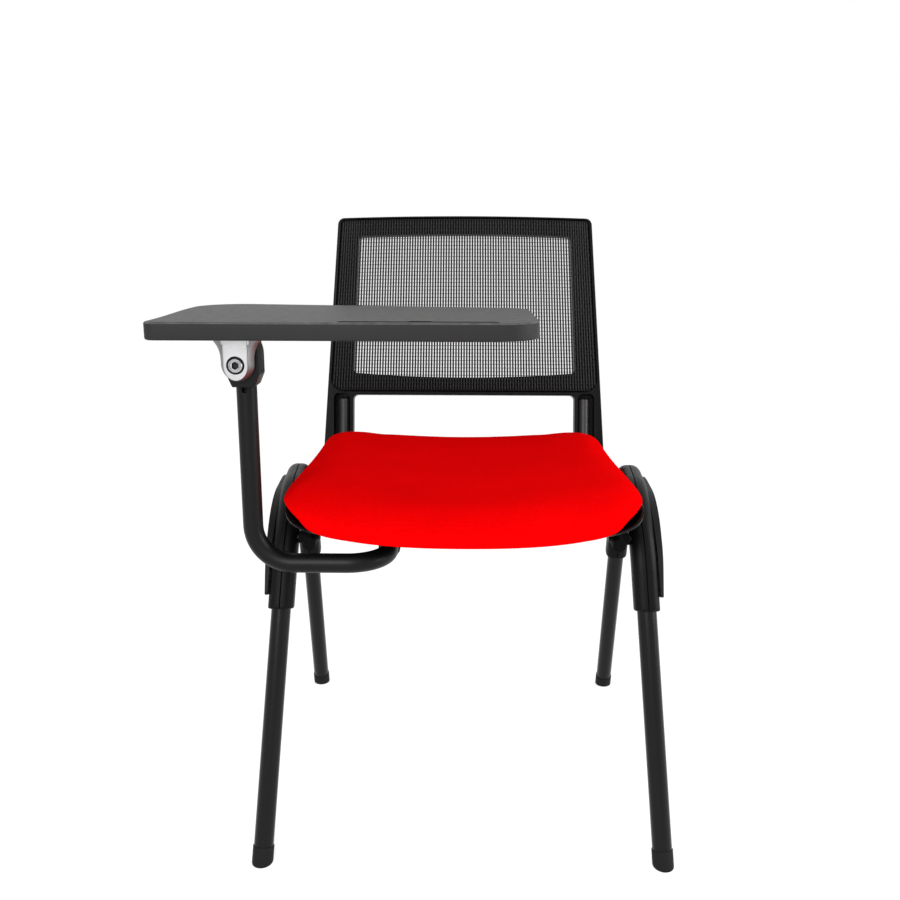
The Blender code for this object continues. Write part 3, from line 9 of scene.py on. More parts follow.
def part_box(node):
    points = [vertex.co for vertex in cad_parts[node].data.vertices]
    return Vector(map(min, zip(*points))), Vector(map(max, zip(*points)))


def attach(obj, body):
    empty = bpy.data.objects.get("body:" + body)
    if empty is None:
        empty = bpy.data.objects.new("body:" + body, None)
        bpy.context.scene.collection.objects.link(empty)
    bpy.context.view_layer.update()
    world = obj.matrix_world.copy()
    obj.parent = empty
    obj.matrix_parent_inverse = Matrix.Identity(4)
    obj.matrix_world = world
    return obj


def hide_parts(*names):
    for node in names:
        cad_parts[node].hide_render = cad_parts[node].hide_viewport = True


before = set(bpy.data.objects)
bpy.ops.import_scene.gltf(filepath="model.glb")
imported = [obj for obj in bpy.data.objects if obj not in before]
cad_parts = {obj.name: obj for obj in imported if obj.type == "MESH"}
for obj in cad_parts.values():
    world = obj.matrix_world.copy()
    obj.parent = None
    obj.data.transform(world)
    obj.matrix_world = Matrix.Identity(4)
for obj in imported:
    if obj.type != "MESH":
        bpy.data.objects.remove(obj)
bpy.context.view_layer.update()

scene = bpy.context.scene

# Camera
# It stands 1.3 m in front of the seat, just below the height of the back's top edge, and looks
# 13 degrees down. Its lens and place come from the perspective of the tubes and the tablet.
camera_at = np.array([0.0317, -1.3088, 0.815])
yaw, pitch, roll = np.radians([-0.6835, 13.0, -0.139])
sensor_width, focal_share = 36.0, 909 / 900
ahead = np.array([math.sin(yaw) * math.cos(pitch), math.cos(yaw) * math.cos(pitch), -math.sin(pitch)])
level_right = np.array([math.cos(yaw), -math.sin(yaw), 0.0])
down = np.cross(ahead, level_right)
right = math.cos(roll) * level_right + math.sin(roll) * down
upward = math.sin(roll) * level_right - math.cos(roll) * down
camera = bpy.data.objects.new("camera", bpy.data.cameras.new("camera"))
camera.data.sensor_width = sensor_width
camera.data.lens = sensor_width * focal_share
camera_turn = np.eye(4)
camera_turn[:3] = np.column_stack([right, upward, -ahead, camera_at])
camera.matrix_world = Matrix(camera_turn.tolist())
scene.collection.objects.link(camera)
scene.camera = camera
scene.view_settings.view_transform = "Standard"

# Studio
# A white sweep: the floor and the surround show white to the eye and in gloss, and the floor
# keeps the chair's soft shadow. A broad lamp stands in front, to the left, a weaker one at the right.
floor_half = 7.0
floor_matt, floor_shaded, floor_glow = 0.75, 0.34, 0.78
sky_strength = 0.64
lamps = (("key_lamp", (-0.7, -2.4, 1.6), 1.4, 54.0), ("fill_lamp", (2.4, -0.4, 1.1), 1.4, 45.0))
lamp_aim = np.array([0.0, 0.0, 0.45])


def add_node(tree, kind, **inputs):
    """Adds a node to a tree and sets its inputs by their names, with spaces written as underscores."""
    node = tree.nodes.new(kind)
    for key, value in inputs.items():
        node.inputs[key.replace("_", " ")].default_value = value
    return node


def grey(tone):
    """A colour from one tone, or from three."""
    return (*np.broadcast_to(tone, 3).tolist(), 1)


def link_all(tree, *pairs):
    """Links each output to its input."""
    for source, target in pairs:
        tree.links.new(source, target)


def math_node(tree, operation, *values):
    """The result of one operation on numbers and on the outputs of other nodes."""
    node = add_node(tree, "ShaderNodeMath")
    node.operation = operation
    for value, socket in zip(values, node.inputs):
        if isinstance(value, (int, float)):
            socket.default_value = value
        else:
            tree.links.new(value, socket)
    return node.outputs[0]


def split_seen(tree, scattered, seen, output):
    """Uses one shader for scattered light, another for the eye, for gloss and through clear pieces."""
    path = add_node(tree, "ShaderNodeLightPath").outputs
    share = math_node(tree, "MAXIMUM", path["Is Glossy Ray"], path["Is Transmission Ray"])
    share = math_node(tree, "MAXIMUM", path["Is Camera Ray"], share)
    mix = add_node(tree, "ShaderNodeMixShader")
    sources = share, scattered.outputs[0], seen.outputs[0]
    link_all(tree, *zip(sources, mix.inputs), (mix.outputs[0], add_node(tree, output).inputs[0]))


scene.world = bpy.data.worlds.new("studio")
scene.world.use_nodes = True
sky = scene.world.node_tree
sky.nodes.clear()
scattered = add_node(sky, "ShaderNodeBackground", Color=grey(1), Strength=sky_strength)
seen = add_node(sky, "ShaderNodeBackground", Color=grey(1), Strength=1.0)
split_seen(sky, scattered, seen, "ShaderNodeOutputWorld")

floor_mesh = bpy.data.meshes.new("floor")
floor_corners = floor_half * np.array([[-1, -1, 0], [1, -1, 0], [1, 1, 0], [-1, 1, 0]])
floor_mesh.from_pydata(floor_corners.tolist(), [], [[0, 1, 2, 3]])
floor = bpy.data.objects.new("floor", floor_mesh)
scene.collection.objects.link(floor)
floor_paint = bpy.data.materials.new("white_sweep")
floor_paint.use_nodes = True
sweep = floor_paint.node_tree
sweep.nodes.clear()
matt = add_node(sweep, "ShaderNodeBsdfDiffuse", Color=grey(floor_matt))
shaded = add_node(sweep, "ShaderNodeBsdfDiffuse", Color=grey(floor_shaded))
glow = add_node(sweep, "ShaderNodeEmission", Color=grey(1), Strength=floor_glow)
bright = add_node(sweep, "ShaderNodeAddShader")
link_all(sweep, (shaded.outputs[0], bright.inputs[0]), (glow.outputs[0], bright.inputs[1]))
split_seen(sweep, matt, bright, "ShaderNodeOutputMaterial")
floor_mesh.materials.append(floor_paint)

for lamp_name, lamp_at, lamp_size, lamp_power in lamps:
    lamp = bpy.data.objects.new(lamp_name, bpy.data.lights.new(lamp_name, "AREA"))
    lamp.data.size = lamp_size
    lamp.data.energy = lamp_power
    lamp.location = lamp_at
    lamp.rotation_mode = "QUATERNION"
    lamp.rotation_quaternion = Vector(lamp_aim - lamp_at).to_track_quat("-Z", "Y")
    scene.collection.objects.link(lamp)

# Legs
# Four straight steel tubes of 26 mm, powder coated satin black, that lean and splay outwards.
# Each stands in a moulded foot and is pushed up into a socket of its side arch.
leg_radius, leg_sides = 0.0132, 48
leg_low, leg_high, leg_rows = 0.009, 0.395, 6
front_foot, front_splay, front_lean = (0.2686, -0.2572), -0.0586, 0.3020
rear_foot, rear_splay, rear_lean = (0.2655, 0.2572), -0.0107, -0.3193
aslant = np.array([0.48, -0.62, 0.62])
crease_angle, bump_strength = 35, 0.35
sides = ((-1, "left"), (1, "right"))
leg_places = [(side, True, f"front_{name}") for side, name in sides]
leg_places += [(side, False, f"rear_{name}") for side, name in sides]
arm_line_y = -0.2245
rails_low, rails_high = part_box("left_rail")[0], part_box("right_rail")[1]
head_low, head_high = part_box("hinge_head")
chair_zero = np.array([(rails_low.x + rails_high.x) / 2, (head_low.y + head_high.y) / 2 - arm_line_y, 0.0])


def leg_axis(front, z):
    """How far a leg's axis lies from the chair's mid-plane, and its y, at a height."""
    foot, splay, lean = (front_foot, front_splay, front_lean) if front else (rear_foot, rear_splay, rear_lean)
    return foot[0] + splay * z, foot[1] + lean * z


def leg_point(side, front, z):
    x, y = leg_axis(front, z)
    return np.array([side * x, y, z])


def unit(vectors):
    """Each vector divided by its length."""
    return vectors / np.linalg.norm(vectors, axis=-1, keepdims=True)


def together(*values):
    """Points from their coordinates, or faces from their corners: each an array, or one value for all."""
    return np.stack(np.broadcast_arrays(*values), axis=-1)


def bands(near, far):
    """Four-sided faces between loops of points and the loops that follow them, by the points' numbers."""
    return together(near, np.roll(near, -1, -1), np.roll(far, -1, -1), far).reshape(-1, 4)


def loft(rows):
    """A closed skin over rows of points: each row is a loop, neighbours are joined by four-sided
    faces, and the first and last row are closed by a flat face."""
    index = np.arange(rows.size // 3).reshape(rows.shape[:2])
    return rows.reshape(-1, 3), [bands(index[:-1], index[1:]), index[:1, ::-1], index[-1:]]


def tube_rows(path, radius, count=leg_sides):
    """Circles along a path: at each point of it the two directions square to the path carry
    radius times the cosine and sine of the angle."""
    path = np.asarray(path, float)
    along = unit(np.gradient(path, axis=0))
    first = unit(np.cross(along, aslant))[:, None]
    second = np.cross(along, first[:, 0])[:, None]
    angle = np.linspace(0, 2 * math.pi, count, endpoint=False)[None, :, None]
    return path[:, None] + radius * (np.cos(angle) * first + np.sin(angle) * second)


def smooth_faces(mesh, crease=crease_angle):
    """Turns all faces outwards and shades them smooth, with a crease where they meet more sharply."""
    shape = bmesh.new()
    shape.from_mesh(mesh)
    bmesh.ops.recalc_face_normals(shape, faces=shape.faces)
    shape.to_mesh(mesh)
    shape.free()
    mesh.shade_smooth()
    mesh.set_sharp_from_angle(angle=math.radians(crease))


def shape_mesh(name, parts):
    """One mesh from parts of (points, lists of faces), moved from the chair's zero into the frame."""
    mesh = bpy.data.meshes.new(name)
    starts = np.cumsum([0] + [len(points) for points, _ in parts])
    faces = []
    for (_, blocks), start in zip(parts, starts):
        for block in blocks:
            faces += (block + start).tolist()
    mesh.from_pydata((np.concatenate([points for points, _ in parts]) + chair_zero).tolist(), [], faces)
    return mesh


def make_piece(name, parts, finish, node, body="chair", crease=crease_angle):
    """A piece with its finish, tied to its body; the CAD node that it stands for is hidden."""
    piece = bpy.data.objects.new(name, shape_mesh(name, parts))
    smooth_faces(piece.data, crease)
    scene.collection.objects.link(piece)
    piece.data.materials.append(finish)
    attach(piece, body)
    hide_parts(node)
    return piece


def new_finish(name, **settings):
    """A new finish: the material, its nodes, its shader as set here, and places on the object."""
    finish = bpy.data.materials.new(name)
    finish.use_nodes = True
    tree = finish.node_tree
    shader = tree.nodes["Principled BSDF"]
    for key, value in settings.items():
        shader.inputs[key.replace("_", " ")].default_value = value
    return finish, tree, shader, add_node(tree, "ShaderNodeTexCoord").outputs["Object"]


def tone_mix(tree, share, dark, light):
    """A colour between two others, by a share."""
    mix = add_node(tree, "ShaderNodeMix")
    mix.data_type = "RGBA"
    mix.inputs[6].default_value, mix.inputs[7].default_value = grey(dark), grey(light)
    tree.links.new(share, mix.inputs[0])
    return mix.outputs[2]


def grained(name, dark, light, roughness, grain, depth, metallic=0.0, specular=0.12, patch=9.0):
    """A finish whose colour drifts in broad soft patches, with a fine grain in its height and gloss."""
    finish, tree, shader, place = new_finish(name, Metallic=metallic, Specular_IOR_Level=specular)
    broad = add_node(tree, "ShaderNodeTexNoise", Scale=patch, Detail=4.0, Roughness=0.6)
    fine = add_node(tree, "ShaderNodeTexNoise", Scale=grain, Detail=3.0, Roughness=0.55)
    gloss = add_node(tree, "ShaderNodeMapRange", To_Min=roughness[0], To_Max=roughness[1])
    relief = add_node(tree, "ShaderNodeBump", Strength=bump_strength, Distance=depth)
    link_all(
        tree, (place, broad.inputs["Vector"]), (place, fine.inputs["Vector"]),
        (tone_mix(tree, broad.outputs[0], dark, light), shader.inputs["Base Color"]),
        (fine.outputs[0], gloss.inputs["Value"]), (fine.outputs[0], relief.inputs["Height"]),
        (gloss.outputs[0], shader.inputs["Roughness"]), (relief.outputs[0], shader.inputs["Normal"]),
    )
    return finish


black_coat = grained("satin_black_coat", 0.0015, 0.0035, (0.18, 0.27), 900, 0.0002, specular=0.20)
for side, front, name in leg_places:
    axis = np.linspace(leg_point(side, front, leg_low), leg_point(side, front, leg_high), leg_rows)
    tube = loft(tube_rows(axis, leg_radius))
    make_piece(f"{name}_leg_tube", [tube], black_coat, f"{name}_leg")

# Feet
# A moulded rubber cap on the end of each leg, slightly wider than the tube, cut level where it
# stands, with a broken edge at the floor and a rounded lip at the top.
foot_radius, foot_height = 0.0142, 0.0215
foot_edge, foot_lip = 0.0015, 0.0006
foot_sink, foot_play = 0.003, 0.0001
quarter = np.linspace(0, math.pi / 2, 5)
round_in, round_up = 1 - np.sin(quarter), 1 - np.cos(quarter)
foot_level = np.concatenate([
    foot_edge * round_up, [foot_height - foot_lip], foot_height - foot_lip * round_in[1:],
    [foot_height - foot_sink],
])
foot_reach = np.concatenate([
    foot_radius - foot_edge * round_in, [foot_radius], foot_radius - foot_lip * round_up[1:],
    [leg_radius + foot_play],
])
foot_rubber = grained("black_rubber_foot", 0.006, 0.012, (0.55, 0.75), 1400, 0.0003)
for side, front, name in leg_places:
    low, high = leg_point(side, front, 0.0), leg_point(side, front, leg_high)
    along = unit(high - low)
    circle = tube_rows([low, high], 1.0)[0] - low
    cap = (low + along * (foot_level / along[2])[:, None])[:, None] + foot_reach[:, None, None] * circle
    edge = cap[:len(quarter)]
    edge += ((foot_level[:len(quarter), None] - edge[..., 2]) / along[2])[..., None] * along
    make_piece(f"{name}_foot_cap", [loft(cap)], foot_rubber, f"{name}_foot")

# Side arches
# Each side is an arch of two moulded halves in grained black plastic that close round the tops of
# the two legs. They meet in a fine seam down the front of each socket and over the crest.
arch_depth, arch_width, arch_corner = 0.018, 0.0175, 0.0142
arch_front_z, arch_crest_z, arch_rear_z = 0.3235, 0.461, 0.292
arch_bend, path_step = 0.120, 0.004
seam_gap, seam_edge = 0.0003, 0.0007
end_round, socket_play, bore_from = 0.0022, 0.0003, 0.03
screw_level, screw_pocket, screw_sink, cut_past = 0.360, 0.0053, 0.0045, 0.003


def run_along(path):
    """The distance along a path at each of its points."""
    return np.append(0, np.cumsum(np.linalg.norm(np.diff(path, axis=0), axis=1)))


def points_at(distances, run, path):
    """The points of a path at the distances given."""
    return np.stack([np.interp(distances, run, values) for values in path.T], axis=1)


def corner_arc(before, corner, after, radius, steps=None):
    """The arc that rounds a corner, from one of its straight sides to the other."""
    arrive, leave = unit(corner - before), unit(after - corner)
    turn = math.acos(float(np.clip(arrive @ leave, -1, 1)))
    inward = (leave - arrive * math.cos(turn)) / math.sin(turn)
    angle = np.linspace(0, turn, steps or max(6, int(radius * turn / path_step)))[:, None]
    start = corner - arrive * radius * math.tan(turn / 2)
    return start + radius * (np.sin(angle) * arrive + (1 - np.cos(angle)) * inward)


def bent(corners, radius):
    """A path through corners, with an arc of one radius at each inner corner and even short steps."""
    corners = np.asarray(corners, float)
    arcs = [corner_arc(*three, radius) for three in zip(corners, corners[1:], corners[2:])]
    path = np.concatenate([corners[:1], *arcs, corners[-1:]])
    run = run_along(path)
    return points_at(np.linspace(0, run[-1], max(8, int(run[-1] / path_step))), run, path)


def arch_share(y, z):
    """How far a point of the side view lies on the way from the front leg's line to the rear leg's."""
    front_y, rear_y = leg_axis(True, z)[1], leg_axis(False, z)[1]
    return np.clip((y - front_y) / (rear_y - front_y), 0, 1)


def arch_place(side, yz, outward):
    """Puts points of the side view, with their distance from the arch's middle, into the chair."""
    y, z = yz[..., 0], yz[..., 1]
    front_x, rear_x = leg_axis(True, z)[0], leg_axis(False, z)[0]
    return together(side * (front_x + (rear_x - front_x) * arch_share(y, z) + outward), y, z)


def oval(turn, across, up, middle=(0, 0)):
    """Points of an oval at the angles given."""
    return together(across * np.cos(turn), up * np.sin(turn)) + middle


arch_corners = ((True, arch_front_z), (True, arch_crest_z), (False, arch_crest_z), (False, arch_rear_z))
arch_line = bent([(leg_axis(front, z)[1], z) for front, z in arch_corners], arch_bend)
arch_run = run_along(arch_line)
arch_out = unit(np.gradient(arch_line, axis=0))[:, ::-1] * [-1, 1]
corner_turn = np.linspace(0, math.pi / 2, 7)
corner_in, corner_out = 1 - np.sin(corner_turn), 1 - np.cos(corner_turn)
arch_round = together(arch_depth - arch_corner * corner_out, arch_width - arch_corner * corner_in)
half_section = np.concatenate([
    [[-arch_depth + seam_edge, seam_gap], [-arch_depth, seam_gap + seam_edge]],
    arch_round * [-1, 1], arch_round[::-1],
    [[arch_depth, seam_gap + seam_edge], [arch_depth - seam_edge, seam_gap]],
])
bore_turn = np.linspace(bore_from, math.pi - bore_from, 17)
half_bore = oval(bore_turn, leg_radius + socket_play, leg_radius + socket_play)
half_bore[:, 1] = np.maximum(half_bore[:, 1], seam_gap)


def arch_yz(stations, depth):
    """Points of the side view at distances along the arch and out from its middle line."""
    line, out = (points_at(stations, arch_run, path)[:, None] for path in (arch_line, arch_out))
    return line + out * depth[..., None]


def arch_half(side, sign):
    """Half a rounded section, bored for the leg, carried along the arch, with rounded socket ends."""
    lip = end_round * round_up[:-1]
    middle = arch_run[(arch_run > end_round) & (arch_run < arch_run[-1] - end_round)]
    stations = np.concatenate([lip, middle, arch_run[-1] - lip[::-1]])
    from_end = np.clip(np.minimum(stations, arch_run[-1] - stations) / end_round, 0, 1)
    draw = (end_round * (1 - np.sqrt(1 - (1 - from_end) ** 2)))[:, None]
    outer = np.repeat(half_section[None], len(stations), axis=0)
    depth, width = outer[..., 0], outer[..., 1]
    depth -= np.sign(depth) * draw * (np.abs(depth) > arch_depth - arch_corner)
    width -= draw * (width > arch_width - arch_corner)
    section = np.concatenate([outer, np.repeat(half_bore[None], len(stations), axis=0)], axis=1)
    return loft(arch_place(side, arch_yz(stations, section[..., 0]), sign * section[..., 1]))


def carve(piece, parts, overlapping=False):
    """Cuts closed shapes out of a piece, whose own parts may overlap, then removes the cutters."""
    cutter = bpy.data.objects.new("cutter", shape_mesh("cutter", parts))
    smooth_faces(cutter.data)
    scene.collection.objects.link(cutter)
    modifier = piece.modifiers.new("cut", "BOOLEAN")
    modifier.object = cutter
    modifier.solver = "EXACT"
    modifier.use_self = overlapping
    bpy.context.view_layer.update()
    evaluated = piece.evaluated_get(bpy.context.evaluated_depsgraph_get())
    carved = bpy.data.meshes.new_from_object(evaluated)
    piece.modifiers.clear()
    piece.data = carved
    bpy.data.objects.remove(cutter)
    smooth_faces(carved)


black_moulding = grained("black_grained_plastic", 0.002, 0.004, (0.32, 0.48), 1600, 0.0004, specular=0.09)
for side, side_name in sides:
    outwards = np.array([side, 0, 0])
    for sign, half_name in ((-1, "inner"), (1, "outer")):
        name = f"{side_name}_arch_{half_name}"
        half = make_piece(f"{name}_half", [arch_half(side, sign)], black_moulding, name)
        if half_name == "inner":
            mouths = [leg_point(side, front, screw_level) - arch_width * outwards for front in (True, False)]
            depths = [[at - cut_past * outwards, at + screw_sink * outwards] for at in mouths]
            carve(half, [loft(tube_rows(ends, screw_pocket, 32)) for ends in depths])

# Screws and bolts of the arches
# Blackened screws pin each leg in its socket from the inner side, sunk in a round pocket. Bolts
# with round heads sit deep in the outer halves, under the covers, and run into the rails.
bolt_head_radius, bolt_shank_radius, bolt_head_round = 0.0065, 0.004, 0.002
bolt_head_low, bolt_head_high, bolt_bite = 0.0045, 0.0115, 0.002
rail_x, rail_z, rail_radius = 0.2085, 0.4165, 0.009
black_tones = (0.010, 0.010, 0.011), (0.022, 0.022, 0.023)
blackened = grained("blackened_steel", *black_tones, (0.30, 0.45), 1100, 0.0002)


def finish_nodes(finish, *names):
    """Gives CAD nodes that keep their own shape a finish."""
    for name in names:
        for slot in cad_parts[name].material_slots:
            slot.material = finish


def turned(profile, at, along, count=leg_sides):
    """A lathe-turned shape: (radius, distance) pairs carried round an axis."""
    profile, at, along = np.asarray(profile, float), np.asarray(at, float), np.asarray(along, float)
    circle = tube_rows([at, at + along], 1.0, count)[0] - at
    return loft((at + along * profile[:, 1:])[:, None] + profile[:, :1, None] * circle)


for side, front, name in leg_places:
    finish_nodes(blackened, f"{name}_leg_screw")
    at = leg_point(side, front, rail_z)
    profile = [
        (bolt_shank_radius, rail_x - rail_radius - bolt_bite - abs(at[0])),
        (bolt_shank_radius, bolt_head_low), (bolt_head_radius, bolt_head_low),
        (bolt_head_radius, bolt_head_high - bolt_head_round),
        (0.8 * bolt_head_radius, bolt_head_high), (0.2 * bolt_head_radius, bolt_head_high),
    ]
    bolt = turned(profile, at, (side, 0, 0))
    make_piece(f"{name}_rail_bolt_turned", [bolt], blackened, f"{name}_rail_bolt")

# Arch covers
# A thin moulded cover clips on the outer side of each arch. A strap with softened edges follows
# the arch and hides the bolts, and a thin web closes the space under the crest.
cover_reach, crest_reach, crest_from = 0.012, -0.0015, 0.3
cover_low, cover_high, cover_edge = 0.0182, 0.0222, 0.0016
cover_front_z, cover_rear_z, upright_rise = 0.3415, 0.330, 0.13
strap_inset, strap_rows = 0.004, 110
web_low, web_high, web_level, web_lap = 0.0195, 0.0213, 0.362, 0.010
web_start, web_rows = 0.004, 90


def run_at(front, z):
    """How far along the arch its path passes a height on the front or rear side."""
    crest = int(np.argmax(arch_line[:, 1]))
    if front:
        return float(np.interp(z, arch_line[:crest, 1], arch_run[:crest]))
    return float(np.interp(-z, -arch_line[crest:, 1], arch_run[crest:]))


def stand_off(yz):
    """How far the cover stands out from the arch, which leans in as it rises: the cover hangs upright."""
    y, z = yz[..., 0], yz[..., 1]
    splay = front_splay + (rear_splay - front_splay) * arch_share(y, z)
    return np.maximum(cover_front_z - z, -upright_rise) * splay * (z > cover_front_z)


def cover_strap(side):
    """A flat section with rounded outer edges, carried along the arch's outer face between two heights.
    Its upper edge draws in where the arch turns level, so that the crest stays bare."""
    edge = together(cover_reach - cover_edge * corner_out, cover_high - cover_edge * corner_in)
    section = np.concatenate([
        [[-cover_reach, cover_low], [cover_reach, cover_low]], edge, edge[::-1] * [-1, 1],
    ])
    start, stop = run_at(True, cover_front_z), run_at(False, cover_rear_z)
    lip, lip_draw = cover_edge * np.array([0, 0.15, 0.5, 1]), cover_edge * np.array([1, 0.5, 0.14, 0])
    middle = np.linspace(start + strap_inset, stop - strap_inset, strap_rows)
    stations = np.concatenate([start + lip, middle, stop - lip[::-1]])
    draw = np.concatenate([lip_draw, np.zeros(strap_rows), lip_draw[::-1]])[:, None]
    level = points_at(stations, arch_run, arch_out)[:, 1:]
    bare = np.clip((level - crest_from) / (1 - crest_from), 0, 1) ** 2
    upper = 1 - (1 - crest_reach / cover_reach) * bare
    reach = np.where(section[:, 0] > 0, section[:, 0] * upper, section[:, 0])
    yz = arch_yz(stations, np.sign(reach) * (np.abs(reach) - draw))
    outward = np.minimum(section[:, 1], cover_high - draw) + stand_off(yz) * (section[:, 1] > cover_low)
    return loft(arch_place(side, yz, outward))


def cover_web(side):
    """A thin plate from the arch's inner edge straight down to one level."""
    stations = np.linspace(*(run_at(front, web_level + web_start) for front in (True, False)), web_rows)
    upper = arch_yz(stations, np.full((web_rows, 1), -web_lap))[:, 0]
    lower = together(upper[:, 0], web_level)
    yz = np.stack([upper, lower, lower, upper], axis=1)
    return loft(arch_place(side, yz, stand_off(yz) + [web_low, web_low, web_high, web_high]))


cover_plastic = grained("dark_cover_plastic", 0.006, 0.011, (0.40, 0.56), 1600, 0.0004)
for side, side_name in sides:
    name = f"{side_name}_arch_cover"
    make_piece(f"{name}_clip", [cover_strap(side), cover_web(side)], cover_plastic, name)

# Rails and cross tubes
# Two 18 mm steel tubes run back under the seat, turn up behind it and stand in the back's uprights.
# Short bushes take the arch bolts, two cross tubes tie the rails, and plugs close the open ends.
rail_front_y, rail_bend, rail_sides = -0.158, 0.040, 40
bush_radius, bush_sides = 0.0082, 32
cross_places = ((-0.030, "front"), (0.155, "rear"))
back_lean = math.radians(12.0)
back_y, back_z = 0.222, 0.490
rod_w, rod_top, rod_shown_z = -0.0105, 0.058, 0.470


def on_back(u, v, w):
    """A point of the leaning back: u across it, v up along it and w out of its front face."""
    y = back_y + v * math.sin(back_lean) - w * math.cos(back_lean)
    z = back_z + v * math.cos(back_lean) + w * math.sin(back_lean)
    return together(u, y, z)


def values_of(items, kind):
    """The three-part values of one kind, such as normal, of all points or faces of a mesh."""
    values = np.empty(3 * len(items), np.float32)
    items.foreach_get(kind, values)
    return values.reshape(-1, 3)


def face_places(piece):
    """The middles of a piece's faces, from the chair's zero."""
    return values_of(piece.data.polygons, "center") - chair_zero


def finish_faces(piece, choice, *finishes):
    """Adds finishes to a piece. The choice says for each face which one it has, the first being 0."""
    for finish in finishes:
        piece.data.materials.append(finish)
    piece.data.polygons.foreach_set("material_index", choice.astype(np.int32))


dull_coat = grained("dull_black_coat", 0.002, 0.004, (0.55, 0.70), 900, 0.0002, specular=0.05)
# The part of each rail that shows in the back's channel gets a copy of the black coat painted about ten times
# lighter: a painted highlight.
rod_painted_highlight_coat = grained("rod_coat_painted_lighter", 0.022, 0.036, (0.30, 0.42), 900, 0.0002, specular=0.30)
rod_foot = (rail_z - back_z - rod_w * math.sin(back_lean)) / math.cos(back_lean)
for side, side_name in sides:
    name = f"{side_name}_rail"
    x = side * rail_x
    corners = [(x, rail_front_y, rail_z), on_back(x, rod_foot, rod_w), on_back(x, rod_top, rod_w)]
    parts = [loft(tube_rows(bent(corners, rail_bend), rail_radius, rail_sides))]
    for front in (True, False):
        leg_x, y = leg_axis(front, rail_z)
        bush = [(x, y, rail_z), (side * (leg_x - arch_width - seam_gap), y, rail_z)]
        parts.append(loft(tube_rows(bush, bush_radius, bush_sides)))
    rail = make_piece(f"{name}_tube", parts, dull_coat, name)
    finish_faces(rail, face_places(rail)[:, 2] > rod_shown_z, rod_painted_highlight_coat)
    finish_nodes(dull_coat, f"{name}_front_plug", f"{name}_top_plug")
for y, end_name in cross_places:
    name = f"{end_name}_cross_tube"
    cross = loft(tube_rows([(-rail_x, y, rail_z), (rail_x, y, rail_z)], rail_radius, rail_sides))
    make_piece(f"{name}_bar", [cross], dull_coat, name)

# Seat shell and board
# A shallow tray moulded in black plastic carries the seat: a flat floor on the rails and sides
# that sweep up to a lip under the cushion. A plywood board lies in it, and screws hold both down.
seat_half_width, seat_half_depth, seat_mid_y = 0.2325, 0.2095, -0.004
seat_taper, seat_bow, seat_squareness, seat_columns = 0.0093, 0.0445, 9, 224
shell_floor_z, shell_wall, shell_rows = 0.4258, 0.0035, 15
shell_middle, shell_flat, shell_rim = 0.35, 0.7398, 0.972
rim_side_z, rim_drop, rim_drop_run, rim_round = 0.478, 0.036, 0.083, 0.0006
lip_flare, lip_corner_x, lip_fade, lip_corner_run = 0.046, 0.176, 0.045, 0.070
seat_front_y = seat_mid_y - seat_half_depth - seat_bow
seat_rear_y = seat_mid_y + seat_half_depth
seat_turn = (np.arange(seat_columns) + 0.5) / seat_columns


def seat_outline():
    """The seat's plan: a squarish oval, wider in front, with a bowed front edge, at even distances."""
    a = np.linspace(-math.pi / 2, 3 * math.pi / 2, 60001)
    across, deep = [np.sign(way) * np.abs(way) ** (2 / seat_squareness) for way in (np.cos(a), np.sin(a))]
    x = across * (seat_half_width - seat_taper * deep)
    y = seat_half_depth * deep - seat_bow * (1 - across ** 2) * (deep < 0)
    plan = together(x, y)
    run = run_along(plan)
    return points_at(run[-1] * seat_turn, run, plan)


def ease(t):
    """Rises smoothly from 0 to 1."""
    t = np.clip(t, 0, 1)
    return t * t * (3 - 2 * t)


def rim_height(y):
    """The height of the tray's rim, which drops towards the front edge."""
    return rim_side_z - rim_drop * ease(1 - (y - seat_front_y) / rim_drop_run)


def tray_side(t, wall, rim):
    """The tray's side, from its floor (0) to its rim (1), as a share of the plan and a height: a
    quarter round, straighter where the rim is low."""
    a = t * math.pi / 2
    straight = (rim_side_z - rim) / rim_drop
    rise = (1 - straight) * (1 - math.cos(a)) + straight * math.sin(a)
    low = shell_floor_z + wall
    share = shell_flat + (shell_rim - shell_flat - wall / seat_half_width) * math.sin(a)
    return share, low + (rim - low) * rise


seat_edge = seat_outline()
rim_z = rim_height(seat_edge[:, 1] + seat_mid_y)
lip_corner = ease((np.abs(seat_edge[:, 0]) - lip_corner_x) / lip_fade)
lip_corner = lip_corner * ease(1 - (seat_edge[:, 1] + seat_half_depth) / lip_corner_run)


def seat_plan(share, turn):
    """The point of the seat's plan at a share of its outline and a share of the way round it."""
    x, y = [share * np.interp(turn, seat_turn, values, period=1) for values in seat_edge.T]
    return x, y + seat_mid_y


def plan_row(share, height, turn=seat_turn):
    """One row round the seat: its plan at a share of its size, at the heights given."""
    return together(*seat_plan(share, turn), height)


def tray_row(t, wall):
    """A row of the tray, whose rim flares out past the cushion at the two front corners."""
    share, height = tray_side(t, wall, rim_z)
    return share + lip_flare * lip_corner * math.sin(t * math.pi / 2) ** 5, height


outside = [tray_row(t, 0.0) for t in np.linspace(0, 1, shell_rows)]
inside = [tray_row(t, shell_wall) for t in np.linspace(1, 0, shell_rows)]
lip_share = (outside[-1][0] + inside[0][0]) / 2
tray = [(shell_middle, shell_floor_z), *outside, (lip_share, rim_z + rim_round), *inside]
tray = [plan_row(*row) for row in [*tray, (shell_middle, shell_floor_z + shell_wall)]]
make_piece("seat_tray", [loft(np.array(tray))], black_moulding, "seat_shell")
plywood = grained("plywood_board", (0.36, 0.23, 0.12), (0.50, 0.34, 0.20), (0.55, 0.75), 260, 0.0004)
finish_nodes(plywood, "seat_board")
zinc_tones = (0.42, 0.42, 0.43), (0.55, 0.55, 0.56)
zinc = grained("zinc_plated_steel", *zinc_tones, (0.28, 0.40), 1100, 0.0002, metallic=1.0)
finish_nodes(zinc, *[f"seat_screw_{k}" for k in (1, 2, 3, 4)])

